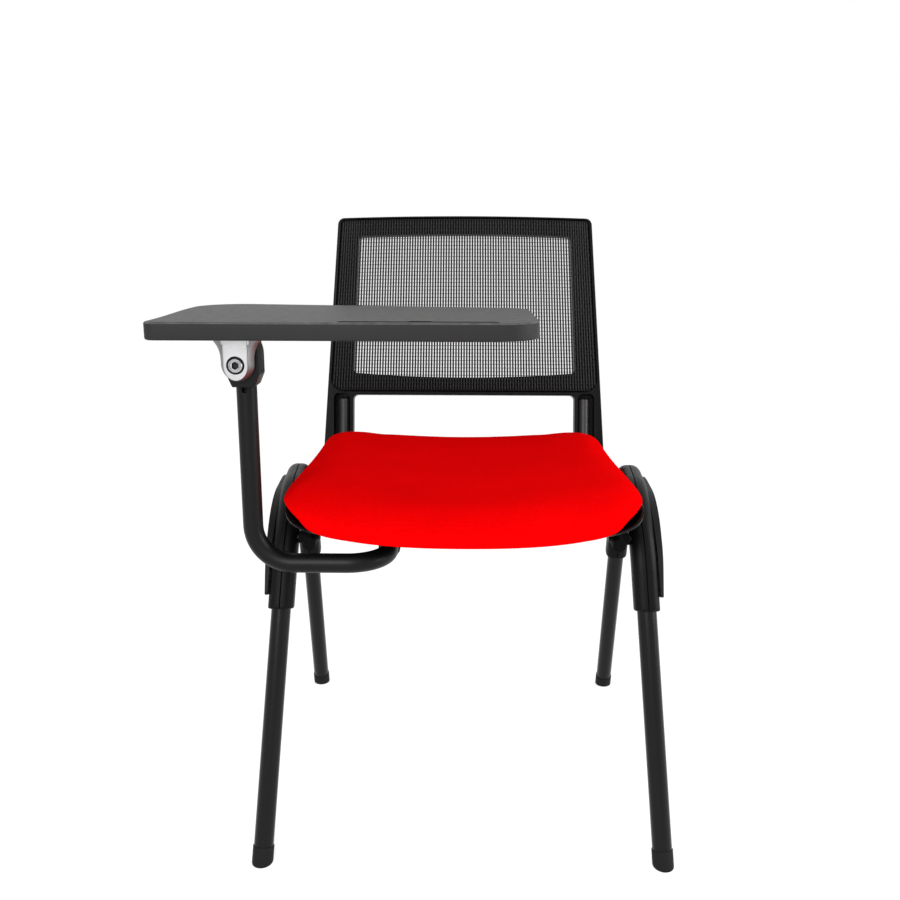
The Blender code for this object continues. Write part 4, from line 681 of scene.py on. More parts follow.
# Seat cushion
# Moulded foam under a red woven cloth, pulled tight over the edge and tucked behind the tray's lip.
# It is dished for the sitter, rises to the sides and rear, and rolls down over the front edge.
cushion_top_z, cushion_rear_rise, cushion_base_z = 0.501, 0.0098, 0.4419
dish, rear_dish, front_dish = 0.016, 0.018, 0.004
front_fall, front_fall_run, cushion_round = 0.032, 0.128, 0.012
skirt_drop, skirt_drop_x, skirt_drop_run = 0.0020, 0.140, 0.045
skirt_lift, skirt_lift_x, skirt_lift_run = 0.0075, 0.197, 0.016
skirt_share, skirt_run = 0.992, 0.050
tuck_play, tuck_rise, tuck_inset, tuck_depth = 0.0006, 0.0010, 0.003, 0.004
cushion_shift, cushion_spread, pad_rings = -0.002, 1.0043, 42
cloth_frames, cloth_pressure = 20, 4.0
slack, most_swell, still_rise, free_run = 0.0016, 0.0032, 0.002, 0.012
weave_pitch = 0.0016
dark_red, light_red = (0.62, 0.0, 0.0004), (0.82, 0.0008, 0.0016)


def cushion_height(share, x, y):
    """The padded top: dished across, falling over the front edge, rounded down at its rim."""
    across = x / seat_half_width
    ahead_share = 1 - (y - seat_front_y) / front_fall_run
    behind = ease(y / seat_rear_y)
    hollow = dish + (rear_dish - dish) * behind + (front_dish - dish) * ease(ahead_share)
    over = np.clip((share - shell_flat) / (1 - shell_flat), 0, 1)
    edge = cushion_round * (1 - np.sqrt(1 - over * over))
    fall = front_fall * np.clip(ahead_share, 0, 1) ** 2
    return cushion_top_z + cushion_rear_rise * behind - fall - edge - hollow * (1 - across * across)


def pad_form():
    """The cushion as one closed net of even four-sided cells: square rings of points laid over the
    plan for the top and for the base, joined by rows that turn in under the edge and into the tray."""
    i, j = np.meshgrid(*[np.arange(-pad_rings, pad_rings + 1)] * 2, indexing="ij")
    ring = np.maximum(np.abs(i), np.abs(j))
    eighth = 1 / (8 * np.maximum(ring, 1))
    turn = np.select(
        [j == -ring, i == ring, j == ring],
        [i * eighth % 1, 1 / 8 + (j + ring) * eighth, 3 / 8 + (ring - i) * eighth],
        5 / 8 + (ring - j) * eighth,
    )
    step = ring / pad_rings
    over = np.clip((step - shell_flat) / (1 - shell_flat), 0, 1)
    share = np.where(step < shell_flat, step, shell_flat + (1 - shell_flat) * np.sin(over * math.pi / 2))
    x, y = seat_plan(share, turn)
    top = together(x, y, cushion_height(share, x, y)).reshape(-1, 3)
    base = plan_row((shell_flat - tuck_inset) * step, cushion_base_z + tuck_play, turn).reshape(-1, 3)
    index = np.arange(step.size).reshape(step.shape)
    cells = together(index[:-1, :-1], index[1:, :-1], index[1:, 1:], index[:-1, 1:]).reshape(-1, 4)
    border = index[ring == pad_rings]
    border = border[np.argsort(turn.ravel()[border])]
    count = len(border)
    border_turn = np.arange(count) / count
    edge_x, edge_y = seat_plan(1.0, border_turn)
    edge_z = cushion_height(1.0, edge_x, edge_y)
    rim = rim_height(edge_y)
    front = ease(1 - (edge_y - seat_mid_y + seat_half_depth) / skirt_run)
    drop = skirt_drop * ease((np.abs(edge_x) - skirt_drop_x) / skirt_drop_run)
    drop = drop - skirt_lift * ease((np.abs(edge_x) - skirt_lift_x) / skirt_lift_run)
    low = rim + tuck_play - drop * front
    tuck = shell_rim + (skirt_share - shell_rim) * front
    rows = [(1 - (1 - tuck) * t ** 2, edge_z + (low - edge_z) * t) for t in (0.25, 0.5, 0.75, 0.92)]
    rows += [(tuck - tuck_inset, low), (shell_rim - tuck_depth, rim + tuck_rise)]
    for t in np.linspace(1, 0, 8)[:-1]:
        wall_share, wall_z = tray_side(t, shell_wall, rim)
        rows.append((wall_share - tuck_inset, np.maximum(wall_z, cushion_base_z) + tuck_play))
    rows = [plan_row(*row, border_turn) for row in rows]
    base_start = len(top) + len(rows) * count
    belt = np.arange(len(top), base_start).reshape(-1, count)
    loops = np.concatenate([border[None], belt, base_start + border[None]])
    points = np.concatenate([top, *rows, base])
    points[:, 0] = points[:, 0] * cushion_spread + cushion_shift
    return points, [cells, bands(loops[:-1], loops[1:]), cells[:, ::-1] + base_start]


def woven_red():
    """Plain weave: warp and weft threads take turns on top, each rounded across, with a little fuzz.
    Its red is painted lighter on each thread's crest and darker between threads, as painted shade.
    """
    cloth, tree, shader, place = new_finish(
        "red_woven_cloth", Specular_IOR_Level=0.0, Sheen_Weight=0.06, Sheen_Roughness=0.5,
        Sheen_Tint=(1.0, 0.02, 0.02, 1),
    )

    def sum_of(*step):
        return math_node(tree, *step)

    parts = add_node(tree, "ShaderNodeSeparateXYZ")
    thread = add_node(tree, "ShaderNodeMix")
    fibre = add_node(tree, "ShaderNodeTexNoise", Scale=2600.0, Detail=2.0)
    drift = add_node(tree, "ShaderNodeTexNoise", Scale=14.0, Detail=4.0)
    relief = add_node(tree, "ShaderNodeBump", Strength=bump_strength, Distance=0.0004)
    rough = add_node(tree, "ShaderNodeMapRange", To_Min=0.95, To_Max=0.78)
    along = sum_of("SUBTRACT", parts.outputs[1], parts.outputs[2])
    turns = math.pi / weave_pitch
    warp, weft = [sum_of("SINE", sum_of("MULTIPLY", way, turns)) for way in (parts.outputs[0], along)]
    over = sum_of("GREATER_THAN", sum_of("MULTIPLY", warp, weft), 0.0)
    top = thread.outputs[0]
    # The colour share rises with the top thread's crest: painted shade between threads, mixed with a random
    # drift.
    share = sum_of("ADD", sum_of("MULTIPLY", top, 0.45), sum_of("MULTIPLY", drift.outputs[0], 0.55))
    height = sum_of("ADD", top, sum_of("MULTIPLY", fibre.outputs[0], 0.5))
    link_all(
        tree, (place, parts.inputs[0]), (place, fibre.inputs["Vector"]), (place, drift.inputs["Vector"]),
        (over, thread.inputs[0]), (sum_of("ABSOLUTE", warp), thread.inputs[2]),
        (sum_of("ABSOLUTE", weft), thread.inputs[3]), (height, relief.inputs["Height"]),
        (top, rough.inputs["Value"]), (relief.outputs[0], shader.inputs["Normal"]),
        (tone_mix(tree, share, dark_red, light_red), shader.inputs["Base Color"]),
        (rough.outputs[0], shader.inputs["Roughness"]),
    )
    return cloth


cushion = make_piece("seat_pad", [pad_form()], woven_red(), "seat_cushion", crease=180)


def padded_out(piece):
    """Lets the pad swell as cloth under pressure from a slightly smaller start, and holds each point
    close to the upholstered form: free above the tray's rim, still below it."""
    mesh = piece.data
    form = values_of(mesh.vertices, "co")
    above = form[:, 2] - rim_height(form[:, 1] - chair_zero[1])
    free = ease((above - still_rise) / free_run)[:, None]
    small = form - values_of(mesh.vertices, "normal") * slack * free
    mesh.vertices.foreach_set("co", small.ravel())
    mesh.update()
    cloth = piece.modifiers.new("cloth", "CLOTH")
    cloth.settings.use_pressure = True
    cloth.settings.uniform_pressure_force = cloth_pressure
    cloth.settings.effector_weights.gravity = 0.0
    scene.frame_start, scene.frame_end = 1, cloth_frames
    for number in range(1, cloth_frames + 1):
        scene.frame_set(number)
    swollen = piece.evaluated_get(bpy.context.evaluated_depsgraph_get()).data
    step = values_of(swollen.vertices, "co") - small
    far = np.linalg.norm(step, axis=1)[:, None]
    step *= np.minimum(1, most_swell / np.maximum(far, 1e-9)) * free
    piece.modifiers.clear()
    mesh.vertices.foreach_set("co", (small + step).ravel())
    mesh.update()
    mesh.shade_smooth()
    settle = piece.modifiers.new("settle", "SMOOTH")
    settle.factor, settle.iterations = 0.5, 4
    fine = piece.modifiers.new("fine", "SUBSURF")
    fine.levels = fine.render_levels = 1
    scene.frame_set(1)


padded_out(cushion)

# Back frame
# One black moulding: a ring round the net and two uprights that reach down behind the seat. Its
# front is recessed for the net's own frame, and a channel in each upright takes the end of a rail.
frame_back, frame_edge = -0.025, 0.0018
frame_top, frame_crown, frame_corner = 0.37395, 0.004, 0.011
frame_low, frame_low_half, frame_top_half = -0.030, 0.2425, 0.2184
upright_inner, upright_corner, gap_top, gap_corner = 0.192, 0.003, 0.0651, 0.008
window_top, window_low, window_top_half, window_low_half = 0.3398, 0.1034, 0.183, 0.192
window_crown, window_sag, window_corner, window_edge = 0.004, 0.008, 0.006, 0.002
net_frame_rim, net_top_rim, net_frame_low = 0.0050, 0.0028, 0.0705
net_frame_corner, net_corner = 0.022, 0.008
recess_depth, recess_play = 0.008, 0.0003
slot_u, slot_half, slot_top, slot_floor = 0.2115, 0.0140, 0.068, -0.0198
slot_low, slot_front, slot_radii = -0.060, 0.02, (0.002, 0.002, 0.009, 0.009)
crown_run, hole_past = 0.02, 0.002


def rounded(corners, radii, steps=9, spacing=0.006):
    """A loop through corners with an arc at each, and points added along its long straight sides."""
    corners = np.asarray(corners, float)
    threes = zip(np.roll(corners, 1, 0), corners, np.roll(corners, -1, 0), radii)
    loop = np.concatenate([corner_arc(*three, steps) for three in threes])
    step = np.roll(loop, -1, 0) - loop
    pieces = np.maximum(1, np.ceil(np.linalg.norm(step, axis=1) / spacing)).astype(int)
    first = np.repeat(np.arange(len(loop)), pieces)
    share = (np.arange(len(first)) - np.repeat(np.cumsum(pieces) - pieces, pieces)) / pieces[first]
    return loop[first] + share[:, None] * step[first]


def four_corners(low_half, low, top_half, top, middle=0.0):
    """The corners of a shape with a level lower and upper side, anticlockwise from its lower left."""
    low_side = [(middle - low_half, low), (middle + low_half, low)]
    return low_side + [(middle + top_half, top), (middle - top_half, top)]


def inset(loop, by):
    """The loop drawn in by a distance, along the mean of its sides' inward directions."""
    inward = unit(np.roll(loop, -1, 0) - loop)[:, ::-1] * [-1, 1]
    before = np.roll(inward, 1, 0)
    return loop + by * (inward + before) / (1 + (inward * before).sum(1))[:, None]


def slab(loop, low, high, edge, place, steps=5, hole=False):
    """A plate of one outline between two levels, with a quarter round along both of its edges. As the
    cutter for a hole it runs on past both levels, and the rounds make it wider there."""
    turn = np.linspace(0, math.pi / 2, steps)
    draw, rise = edge * (1 - np.sin(turn)), edge * (1 - np.cos(turn))
    draw, level = np.append(draw, draw[::-1]), np.append(low + rise, high - rise[::-1])
    if hole:
        draw = -np.concatenate([[edge], draw, [edge]])
        level = np.concatenate([[low - hole_past], level, [high + hole_past]])
    return loft(np.array([place(*inset(loop, by).T, at) for by, at in zip(draw, level)]))


def crowned(loop, top, half, crown):
    """Bows the part of a loop near its top upwards by a crown that fades to nothing at its ends."""
    lift = crown * (1 - (loop[:, 0] / half) ** 2) * ease((loop[:, 1] - top + crown_run) / crown_run)
    return loop + together(0.0, lift)


def back_half(v):
    """Half the back's width at a height along it."""
    return frame_top_half + (frame_low_half - frame_top_half) * (frame_top - v) / (frame_top - frame_low)


top_v = frame_top - frame_crown
top_half = back_half(top_v)
frame_loop = rounded(
    [(-frame_low_half, frame_low), (-upright_inner, frame_low), (-upright_inner, gap_top),
     (upright_inner, gap_top), (upright_inner, frame_low), (frame_low_half, frame_low),
     (top_half, top_v), (-top_half, top_v)],
    [upright_corner] * 2 + [gap_corner] * 2 + [upright_corner] * 2 + [frame_corner] * 2,
)
frame_loop = crowned(frame_loop, top_v, frame_top_half, frame_crown)
window_corners = four_corners(window_low_half, window_low, window_top_half, window_top)
window_loop = rounded(window_corners, [window_corner] * 4)
window_loop = crowned(window_loop, window_top, window_top_half, window_crown) * [1, -1]
window_loop = crowned(window_loop, -window_low, window_low_half, window_sag) * [1, -1]
net_top = top_v - net_top_rim
net_low_half, net_top_half = back_half(net_frame_low) - net_frame_rim, back_half(net_top) - net_frame_rim
net_frame_loop = rounded(
    four_corners(net_low_half, net_frame_low, net_top_half, net_top),
    [net_frame_corner] * 2 + [net_corner] * 2,
)
net_frame_loop = crowned(net_frame_loop, net_top, net_top_half, frame_crown)
moulding = slab(frame_loop, frame_back, 0.0, frame_edge, on_back)
back_ring = make_piece("back_moulding", [moulding], black_moulding, "back_frame")
carve(back_ring, [slab(window_loop, frame_back, 0.0, window_edge, on_back, hole=True)])
carve(back_ring, [slab(inset(net_frame_loop, -recess_play), -recess_depth, recess_depth, 0.0, on_back)])
slots = [four_corners(slot_half, slot_low, slot_half, slot_top, side * slot_u) for side, _ in sides]
carve(back_ring, [slab(rounded(slot, slot_radii), slot_floor, slot_front, 0.0, on_back) for slot in slots])
finish_nodes(zinc, "left_rod_screw", "right_rod_screw")

# Net frame
# A flatter black ring that carries the net. It is clipped into the recess of the back frame, so
# that only a thin line shows between them.
net_frame_back, net_frame_front, net_frame_edge, net_frame_gap = -0.0077, -0.0010, 0.0012, 0.0010
# The ring's black is painted darker and duller than the other black mouldings, as painted shade under the
# net.
ring_painted_shade = grained("dull_black_ring_painted_shade", 0.001, 0.002, (0.60, 0.75), 1600, 0.0004, specular=0.03)
ring_levels = net_frame_back, net_frame_front, net_frame_edge, on_back
ring = slab(inset(net_frame_loop, net_frame_gap), *ring_levels)
net_ring = make_piece("net_ring", [ring], ring_painted_shade, "mesh_frame")
carve(net_ring, [slab(window_loop, *ring_levels, hole=True)])

# Net
# Black polyester net, stretched over the net frame and held in its edge. Flat upright cords, closer
# together towards the top, are crossed by finer threads that pass over and under them.
cord_pitch, cord_half, cord_thick = 0.00473, 0.00150, 0.00034
thread_pitch, thread_half, thread_thick = 0.00624, 0.00044, 0.00026
net_w, weave_lift, net_margin = -0.00045, 0.00016, 0.0020


def corner_limit(reach, half, far, radius):
    """How far a thread may run before it meets an edge whose corners have a radius."""
    into = np.clip((np.abs(reach) - (half - radius)) / radius, 0, 1)
    return far - radius * (1 - np.sqrt(1 - into * into))


def strands(lines, half, thick, across):
    """Flat threads along lines of (u, v, w): each point carries a four-cornered section, wider in the
    net's plane, across u (0) or v (1), than it is thick. All become one set of points and faces."""
    count, length = lines.shape[:2]
    corners = np.repeat(lines[:, :, None], 4, axis=2)
    corners[:, :, 0, across] += half
    corners[:, :, 2, across] -= half
    corners[:, :, 1, 2] += thick
    corners[:, :, 3, 2] -= thick
    index = np.arange(count * length * 4).reshape(count, length, 4)
    faces = [bands(index[:, :-1], index[:, 1:]), index[:, 0, ::-1], index[:, -1]]
    return on_back(*corners.reshape(-1, 3).T), faces


window_lean = (window_low_half - window_top_half) / (window_top - window_low)
net_height = net_top - net_frame_low
low_reach, top_reach = net_low_half - net_margin - cord_half, net_top_half - net_margin - cord_half
low_places = [0, window_low_half + window_lean * (window_low - net_frame_low), low_reach]
top_places = [0, window_top_half - window_lean * (net_top - window_top), top_reach]
cord_count = int(2 * low_reach / cord_pitch) + 1
thread_count = int(net_height / thread_pitch)
cord_low_u = (np.arange(cord_count) - (cord_count - 1) / 2) * cord_pitch
cord_top_u = np.sign(cord_low_u) * np.interp(np.abs(cord_low_u), low_places, top_places)
cord_top = corner_limit(cord_top_u, net_top_half, net_top, net_corner) - net_margin
cord_top = cord_top + frame_crown * (1 - (cord_top_u / net_top_half) ** 2)
cord_low = -corner_limit(cord_low_u, net_low_half, -net_frame_low, net_frame_corner) + net_margin
up = np.linspace(0, 1, 2 * thread_count + 1)[None, :]
cord_v = cord_low[:, None] + (cord_top - cord_low)[:, None] * up
cord_u = cord_low_u[:, None] + (cord_top_u - cord_low_u)[:, None] * (cord_v - net_frame_low) / net_height
phase = np.arange(cord_count)[:, None] % 2
cord_wave = weave_lift * np.cos(math.pi * ((cord_v - net_frame_low) / thread_pitch + phase))
cord_lines = together(cord_u, cord_v, net_w + cord_wave)
thread_v = net_frame_low + (np.arange(thread_count) + 0.5) * net_height / thread_count
thread_end = back_half(thread_v) - net_frame_rim - net_margin
for into, radius in ((net_frame_low - thread_v, net_frame_corner), (thread_v - net_top, net_corner)):
    thread_end = thread_end + corner_limit(np.maximum(into + radius, 0), radius, 0.0, radius)
over = np.linspace(-1, 1, cord_count + 1)[None, :]
thread_u = thread_end[:, None] * over
thread_wave = weave_lift * np.cos(math.pi * (thread_u / cord_pitch + np.arange(thread_count)[:, None]))
thread_bow = frame_crown * (1 - over ** 2) * (thread_v[:, None] - net_frame_low) / net_height
thread_lines = together(thread_u, thread_v[:, None] + thread_bow, net_w + thread_wave)
net_black = grained("black_polyester_net", 0.005, 0.013, (0.30, 0.48), 1900, 0.0003, specular=0.16)
thread_grey = grained("dark_net_thread", 0.010, 0.024, (0.40, 0.55), 1900, 0.0003)
cords = strands(cord_lines, cord_half, cord_thick, 0)
threads = strands(thread_lines, thread_half, thread_thick, 1)
net = make_piece("back_net", [cords, threads], net_black, "back_mesh", crease=180)
cord_faces = sum(len(block) for block in cords[1])
finish_faces(net, np.arange(len(net.data.polygons)) >= cord_faces, thread_grey)

# Tablet arm
# One 25 mm steel tube, bent three times and powder coated: it rises beside the seat, runs under
# the front edge and back to two clamps under the tray. Its top end has a notch that keys the hinge.
arm_x, arm_rear_x = -0.267, -0.100
arm_top_z, arm_run_z, arm_end_y = 0.6415, 0.413, -0.048
arm_radius, arm_bend = 0.0125, 0.050
notch_radius, notch_deep, notch_rise, notch_from, notch_to = 0.0034, 0.0042, 0.004, 0.016, 0.0030


def facing(x, z, y):
    """Puts a loop drawn in the front view, with its depth, into the chair."""
    return together(x, y, z)


arm_path = bent(
    [(arm_x, arm_line_y, arm_top_z), (arm_x, arm_line_y, arm_run_z), (arm_rear_x, arm_line_y, arm_run_z),
     (arm_rear_x, arm_end_y, arm_run_z)],
    arm_bend,
)
arm_coat = grained("soft_black_arm_coat", 0.0015, 0.0035, (0.36, 0.46), 900, 0.0002, specular=0.17)
arm_tube = loft(tube_rows(arm_path, arm_radius))
arm = make_piece("arm_bent_tube", [arm_tube], arm_coat, "arm_tube")
notch_turn = np.linspace(math.pi, 2 * math.pi, 17)
notch_loop = oval(notch_turn, notch_radius, notch_radius, (0, -notch_deep))
notch_loop = np.concatenate([notch_loop, [(notch_radius, notch_rise), (-notch_radius, notch_rise)]])
notch_rows = [facing(*(notch_loop + [arm_x, arm_top_z]).T, arm_line_y - y) for y in (notch_from, notch_to)]
carve(arm, [loft(np.array(notch_rows))])
finish_nodes(black_moulding, "arm_plug")
finish_nodes(black_coat, "front_arm_clamp", "rear_arm_clamp")
finish_nodes(zinc, *[f"clamp_screw_{k}" for k in (1, 2, 3, 4)])

# Hinge head
# A black nylon block on top of the arm, with a spigot down inside the tube. It is flat on top,
# where the tablet rests, rounded where the bracket swings past, and narrows to the tube.
pivot_x, pivot_z = -0.271, 0.6705
head_half_y, head_half_x, head_neck = 0.018, 0.0195, 0.0135
head_top_z, head_low_z, head_edge = 0.7034, 0.6418, 0.0014
head_flat, slope_rise, swing_play = 0.003, 0.009, 0.0003
neck_round, arc_round, shoulder_round = 0.002, 0.0004, 0.006
head_swing = head_top_z - pivot_z - swing_play
head_left = arm_x - head_half_x - pivot_x
arc_turn = np.linspace(math.pi / 2, math.acos(head_left / head_swing), 9)
head_arc = oval(arc_turn, head_swing, head_swing, (pivot_x, pivot_z))
slope_turn, slope_z = np.linspace(0, math.pi / 2, 9), pivot_z + slope_rise
head_slope = oval(slope_turn, head_half_x - head_flat, head_top_z - slope_z, (arm_x + head_flat, slope_z))
shoulder_z = (pivot_z + head_low_z) / 2
head_corners = np.concatenate([
    [(arm_x - head_neck, head_low_z), (arm_x + head_neck, head_low_z), (arm_x + head_half_x, shoulder_z)],
    head_slope, head_arc, [(arm_x - head_half_x, shoulder_z)],
])
arc_radii = [arc_round] * (len(head_slope) + len(head_arc))
head_radii = [neck_round] * 2 + [shoulder_round] + arc_radii + [shoulder_round]
head_loop = rounded(head_corners, head_radii, steps=5, spacing=0.004)
nylon = grained("black_nylon", 0.005, 0.010, (0.32, 0.46), 1300, 0.0003)
head_block = slab(head_loop, arm_line_y - head_half_y, arm_line_y + head_half_y, head_edge, facing)
make_piece("hinge_head_block", [head_block], nylon, "hinge_head")
finish_nodes(zinc, "head_screw")
washer_nylon = grained("pale_nylon", 0.20, 0.28, (0.40, 0.55), 1200, 0.0002)
finish_nodes(washer_nylon, "front_hinge_washer", "rear_hinge_washer")

# Tablet bracket
# A die-cast aluminium fork, polished on its front: a flange screwed under the tablet and two cheeks
# that straddle the hinge head. The front cheek draws in to a narrow apron, counterbored for the bolt.
flange_low, flange_high, flange_edge = 0.7037, 0.7087, 0.0012
flange_half_x, flange_half_y, flange_corner = 0.029, 0.043, 0.006
cheek_near, cheek_far, apron_far, cheek_edge = 0.0201, 0.0321, 0.0346, 0.0016
cheek_top, cheek_low, cheek_deep = 0.0290, 0.0200, 0.0205
apron_half, apron_deep, rear_half, rear_low = 0.0147, 0.0184, 0.0185, 0.0175
apron_draw = ((0.0235, 0.04), (0.0300, 0.62), (0.0318, 0.86))
flare_rise, flank_low = 0.0285, 0.002
bore_radius, bore_depth, bore_edge, bore_past = 0.0103, 0.0050, 0.0006, 0.004
polished_deep, polished_facing, bore_zone = 0.0024, -0.8, (0.0104, 0.0004, 0.0060)


def cheek_loop(top_half, low_half, deep):
    """A cheek in the front view: its half width grows with the third power of the height above the
    pivot, up to the flange, and half an ellipse closes it below the pivot."""
    height = np.linspace((flange_low + flange_high) / 2 - pivot_z, flank_low, 16)
    flare = np.clip(height / flare_rise, 0, 1) ** 3
    flank = together(low_half + (top_half - low_half) * flare, height)
    under = oval(np.linspace(0, -math.pi, 40), low_half, deep)
    return (np.concatenate([flank, under, flank[::-1] * [-1, 1]]) + [pivot_x, pivot_z])[::-1]


def cheek(stations):
    """Outlines of (distance from the arm's plane, half widths above and below, depth below) as a skin."""
    return loft(np.array([facing(*cheek_loop(*outline).T, arm_line_y + away) for away, *outline in stations]))


def round_pivot(piece, radius, near, far):
    """Which faces lie within a radius of the pivot's axis, between two depths from the apron's face."""
    x, y, z = (face_places(piece) - front_face).T
    return (np.hypot(x, z) < radius) & (y > near) & (y < far)


soft = list(zip(cheek_edge * round_in, cheek_edge * round_up))
wide, narrow = np.array([cheek_top, cheek_low, cheek_deep]), np.array([apron_half, apron_half, apron_deep])
slim = np.array([rear_half, rear_low, rear_low])
front_cheek = [(-cheek_near - run, *(wide - by)) for by, run in soft]
front_cheek += [(-away, *(wide + (narrow - wide) * share)) for away, share in apron_draw]
front_cheek += [(-apron_far + run, *(narrow - by)) for by, run in soft[::-1]]
rear_cheek = [(cheek_near + run, *(slim - by)) for by, run in soft]
rear_cheek += [(cheek_far - run, *(slim - by)) for by, run in soft[::-1]]
flange_near, flange_far = arm_line_y - flange_half_y, arm_line_y + flange_half_y
flange_corners = four_corners(flange_half_x, flange_near, flange_half_x, flange_far, pivot_x)
flange = slab(rounded(flange_corners, [flange_corner] * 4), flange_low, flange_high, flange_edge, together)
front_face = np.array([pivot_x, arm_line_y - apron_far, pivot_z])
aluminium_tones = (0.50, 0.50, 0.51), (0.62, 0.62, 0.63)
# Faces that do not face the front take a dull as-cast finish. It is partly the casting's own duller surface
# and partly painted shade that darkens the flanks.
cast_and_shade_tones = (0.17, 0.17, 0.175), (0.27, 0.27, 0.275)
cast_aluminium = grained(
    "polished_cast_aluminium", *aluminium_tones, (0.24, 0.34), 700, 0.00006, metallic=1.0, patch=60.0,
)
as_cast_and_shade = grained("dull_cast_aluminium_and_painted_shade", *cast_and_shade_tones, (0.38, 0.52), 700, 0.0002, metallic=1.0, patch=60.0)
# A near-black finish painted into the counterbore's wall and floor, and into the bolt's hex socket: painted
# shade in these hollows.
painted_shade_bore = grained("painted_shade_dark_bore", 0.020, 0.045, (0.45, 0.60), 900, 0.0002)
fork = [flange, cheek(front_cheek), cheek(rear_cheek)]
bracket = make_piece("tablet_fork", fork, cast_aluminium, "tablet_bracket", "tablet")
bore_rim = bore_radius + bore_edge
bore_profile = [(bore_radius, -bore_depth), (bore_radius, -bore_edge), (bore_rim, 0.0), (bore_rim, bore_past)]
carve(bracket, [turned(bore_profile, front_face, (0, -1, 0), 64)], overlapping=True)
in_bore = round_pivot(bracket, *bore_zone)
# Front-facing faces near the apron stay polished; the rest take the as-cast finish, darkened as painted
# shade.
polished = values_of(bracket.data.polygons, "normal")[:, 1] < polished_facing
polished &= face_places(bracket)[:, 1] < front_face[1] + polished_deep
finish_faces(bracket, np.where(in_bore, 2, np.where(polished, 0, 1)), as_cast_and_shade, painted_shade_bore)
finish_nodes(zinc, "front_tablet_screw", "rear_tablet_screw")

# Pivot bolt and nut
# A machined socket-head bolt sits in the fork's counterbore and runs through the fork and the head
# to a hex nut. Its head has a broken edge, a turned ring and a six-sided socket.
bolt_radius, bolt_top, bolt_edge, bolt_sides = 0.0085, 0.0014, 0.0008, 72
ring_outer, ring_inner, ring_depth, ring_slope = 0.0067, 0.0058, 0.0012, 0.0001
socket_reach, socket_depth, socket_edge, socket_cone = 0.0040, 0.0040, 0.0004, 0.0006
shank_radius, shank_length = 0.0048, 0.078
socket_zone = (0.0048, -0.0006, 0.0040)
bolt_turn = np.linspace(0, 2 * math.pi, bolt_sides, endpoint=False)
hexagon = socket_reach / np.cos((bolt_turn + math.pi / 6) % (math.pi / 3) - math.pi / 6)
bolt_rows = [
    (shank_radius, -shank_length), (shank_radius, -bore_depth), (bolt_radius, -bore_depth),
    (bolt_radius, bolt_top - bolt_edge), (bolt_radius - bolt_edge, bolt_top),
    (ring_outer + ring_slope, bolt_top), (ring_outer - ring_slope, bolt_top - ring_depth),
    (ring_inner + ring_slope, bolt_top - ring_depth), (ring_inner - ring_slope, bolt_top),
    (hexagon + socket_edge, bolt_top), (hexagon, bolt_top - socket_edge), (hexagon, bolt_top - socket_depth),
    (0.3 * hexagon, bolt_top - socket_depth - socket_cone),
]
bolt_grid = np.array([
    facing(pivot_x + r * np.cos(bolt_turn), pivot_z + r * np.sin(bolt_turn), front_face[1] - at)
    for r, at in bolt_rows
])
steel_tones = (0.32, 0.32, 0.33), (0.42, 0.42, 0.43)
bright_steel = grained("machined_steel", *steel_tones, (0.26, 0.36), 700, 0.0001, metallic=1.0, patch=80.0)
bolt = make_piece("pivot_bolt", [loft(bolt_grid)], bright_steel, "hinge_bolt", "tablet")
# The bolt's hex socket takes the near-black finish as painted shade.
finish_faces(bolt, round_pivot(bolt, *socket_zone), painted_shade_bore)
finish_nodes(bright_steel, "hinge_nut")

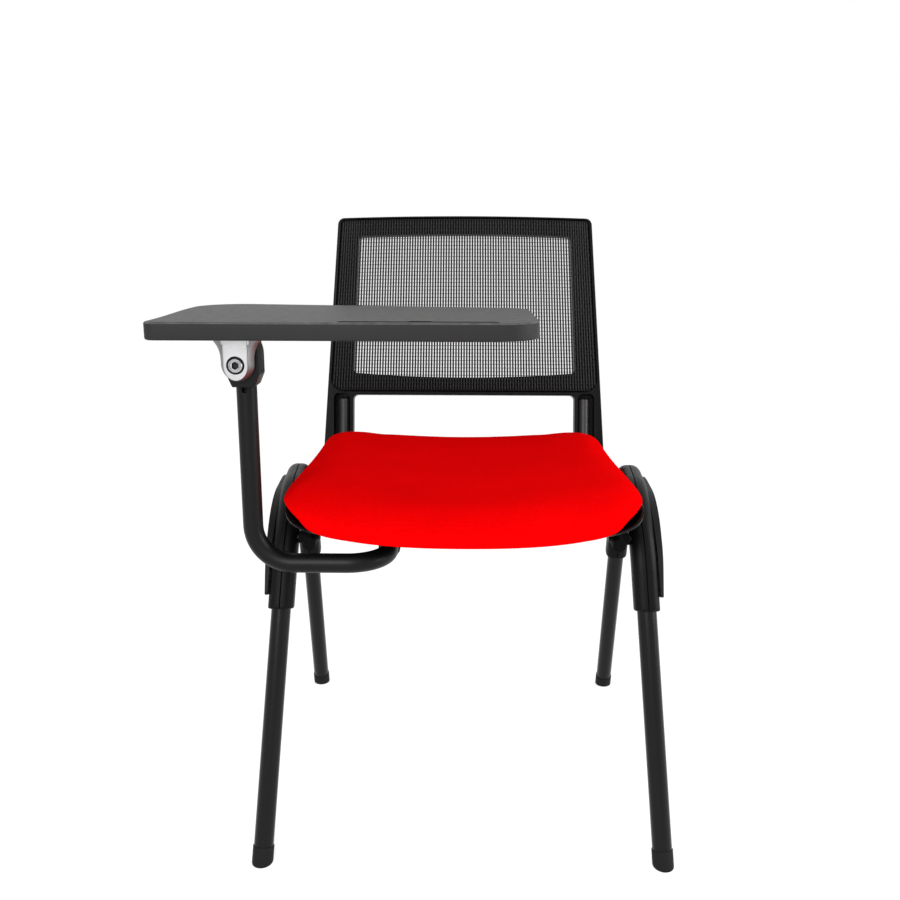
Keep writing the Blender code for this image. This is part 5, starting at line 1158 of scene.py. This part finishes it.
# Writing tablet
# A grey moulded board with a fine even grain and softened edges; its sides are painted a darker grey as
# shade.
# Its left end sweeps out in a slow curve, and a pen groove with a wider finger notch runs along its near
# edge.
tablet_low, tablet_high, tablet_edge = 0.709, 0.729, 0.0026
tablet_left, tablet_right, tablet_near = -0.3493, 0.082, -0.3475
tablet_far_right, tablet_far_left, tablet_flare = -0.123, -0.049, 0.0102
tablet_radii = (0.014, 0.045, 0.035, 0.058)
sway, sway_run, sway_fade = 0.0014, 0.2425, 0.06
groove_left, groove_right = -0.139, 0.036
groove_near, groove_far, groove_depth = -0.3405, -0.3305, 0.003
groove_round, notch_round, groove_margin = 0.003, 0.001, 0.0005
notch_left, notch_right, notch_far = -0.062, -0.038, -0.3260
side_facing, groove_below, board_middle = 0.35, 0.0004, 0.719
tablet_loop = rounded(
    [(tablet_left, tablet_near), (tablet_right, tablet_near), (tablet_right, tablet_far_right),
     (tablet_left - tablet_flare, tablet_far_left)],
    tablet_radii, steps=16,
)
end_share = ease((tablet_left + sway_fade - tablet_loop[:, 0]) / sway_fade)
sway_share = np.clip((tablet_loop[:, 1] - tablet_near) / sway_run, 0, 1)
tablet_loop[:, 0] += end_share * sway * np.sin(2 * math.pi * sway_share)
board = slab(tablet_loop, tablet_low, tablet_high, tablet_edge, together, steps=7)
top_grey = grained("grey_grained_board", 0.018, (0.124, 0.124, 0.122), (0.45, 0.62), 700, 0.0004, patch=85.0)
side_painted_shade = grained("grey_board_sides_painted_shade", 0.016, 0.024, (0.45, 0.62), 900, 0.0003)
groove_painted_shade = grained("painted_shade_groove", 0.002, 0.004, (0.60, 0.75), 900, 0.0003, specular=0.03)
tablet = make_piece("tablet_panel", [board], top_grey, "tablet_board", "tablet")
groove_loop = rounded(
    [(groove_left, groove_near), (groove_right, groove_near), (groove_right, groove_far),
     (notch_right, groove_far), (notch_right, notch_far), (notch_left, notch_far), (notch_left, groove_far),
     (groove_left, groove_far)],
    [groove_round] * 3 + [notch_round] * 4 + [groove_round], steps=6,
)
carve(tablet, [slab(groove_loop, tablet_high - groove_depth, tablet_high + groove_depth, 0.0, together)])
# The groove's walls and floor are painted near-black: painted shade in the groove.
face_at = face_places(tablet)
groove_box = np.array([
    [groove_left - groove_margin, groove_near - groove_margin, board_middle],
    [groove_right + groove_margin, notch_far + groove_margin, tablet_high - groove_below],
])
in_groove = ((face_at > groove_box[0]) & (face_at < groove_box[1])).all(axis=1)
# The sides' darker grey is painted shade.
on_side = values_of(tablet.data.polygons, "normal")[:, 2] < side_facing
finish_faces(tablet, np.where(in_groove, 2, np.where(on_side, 1, 0)), side_painted_shade, groove_painted_shade)
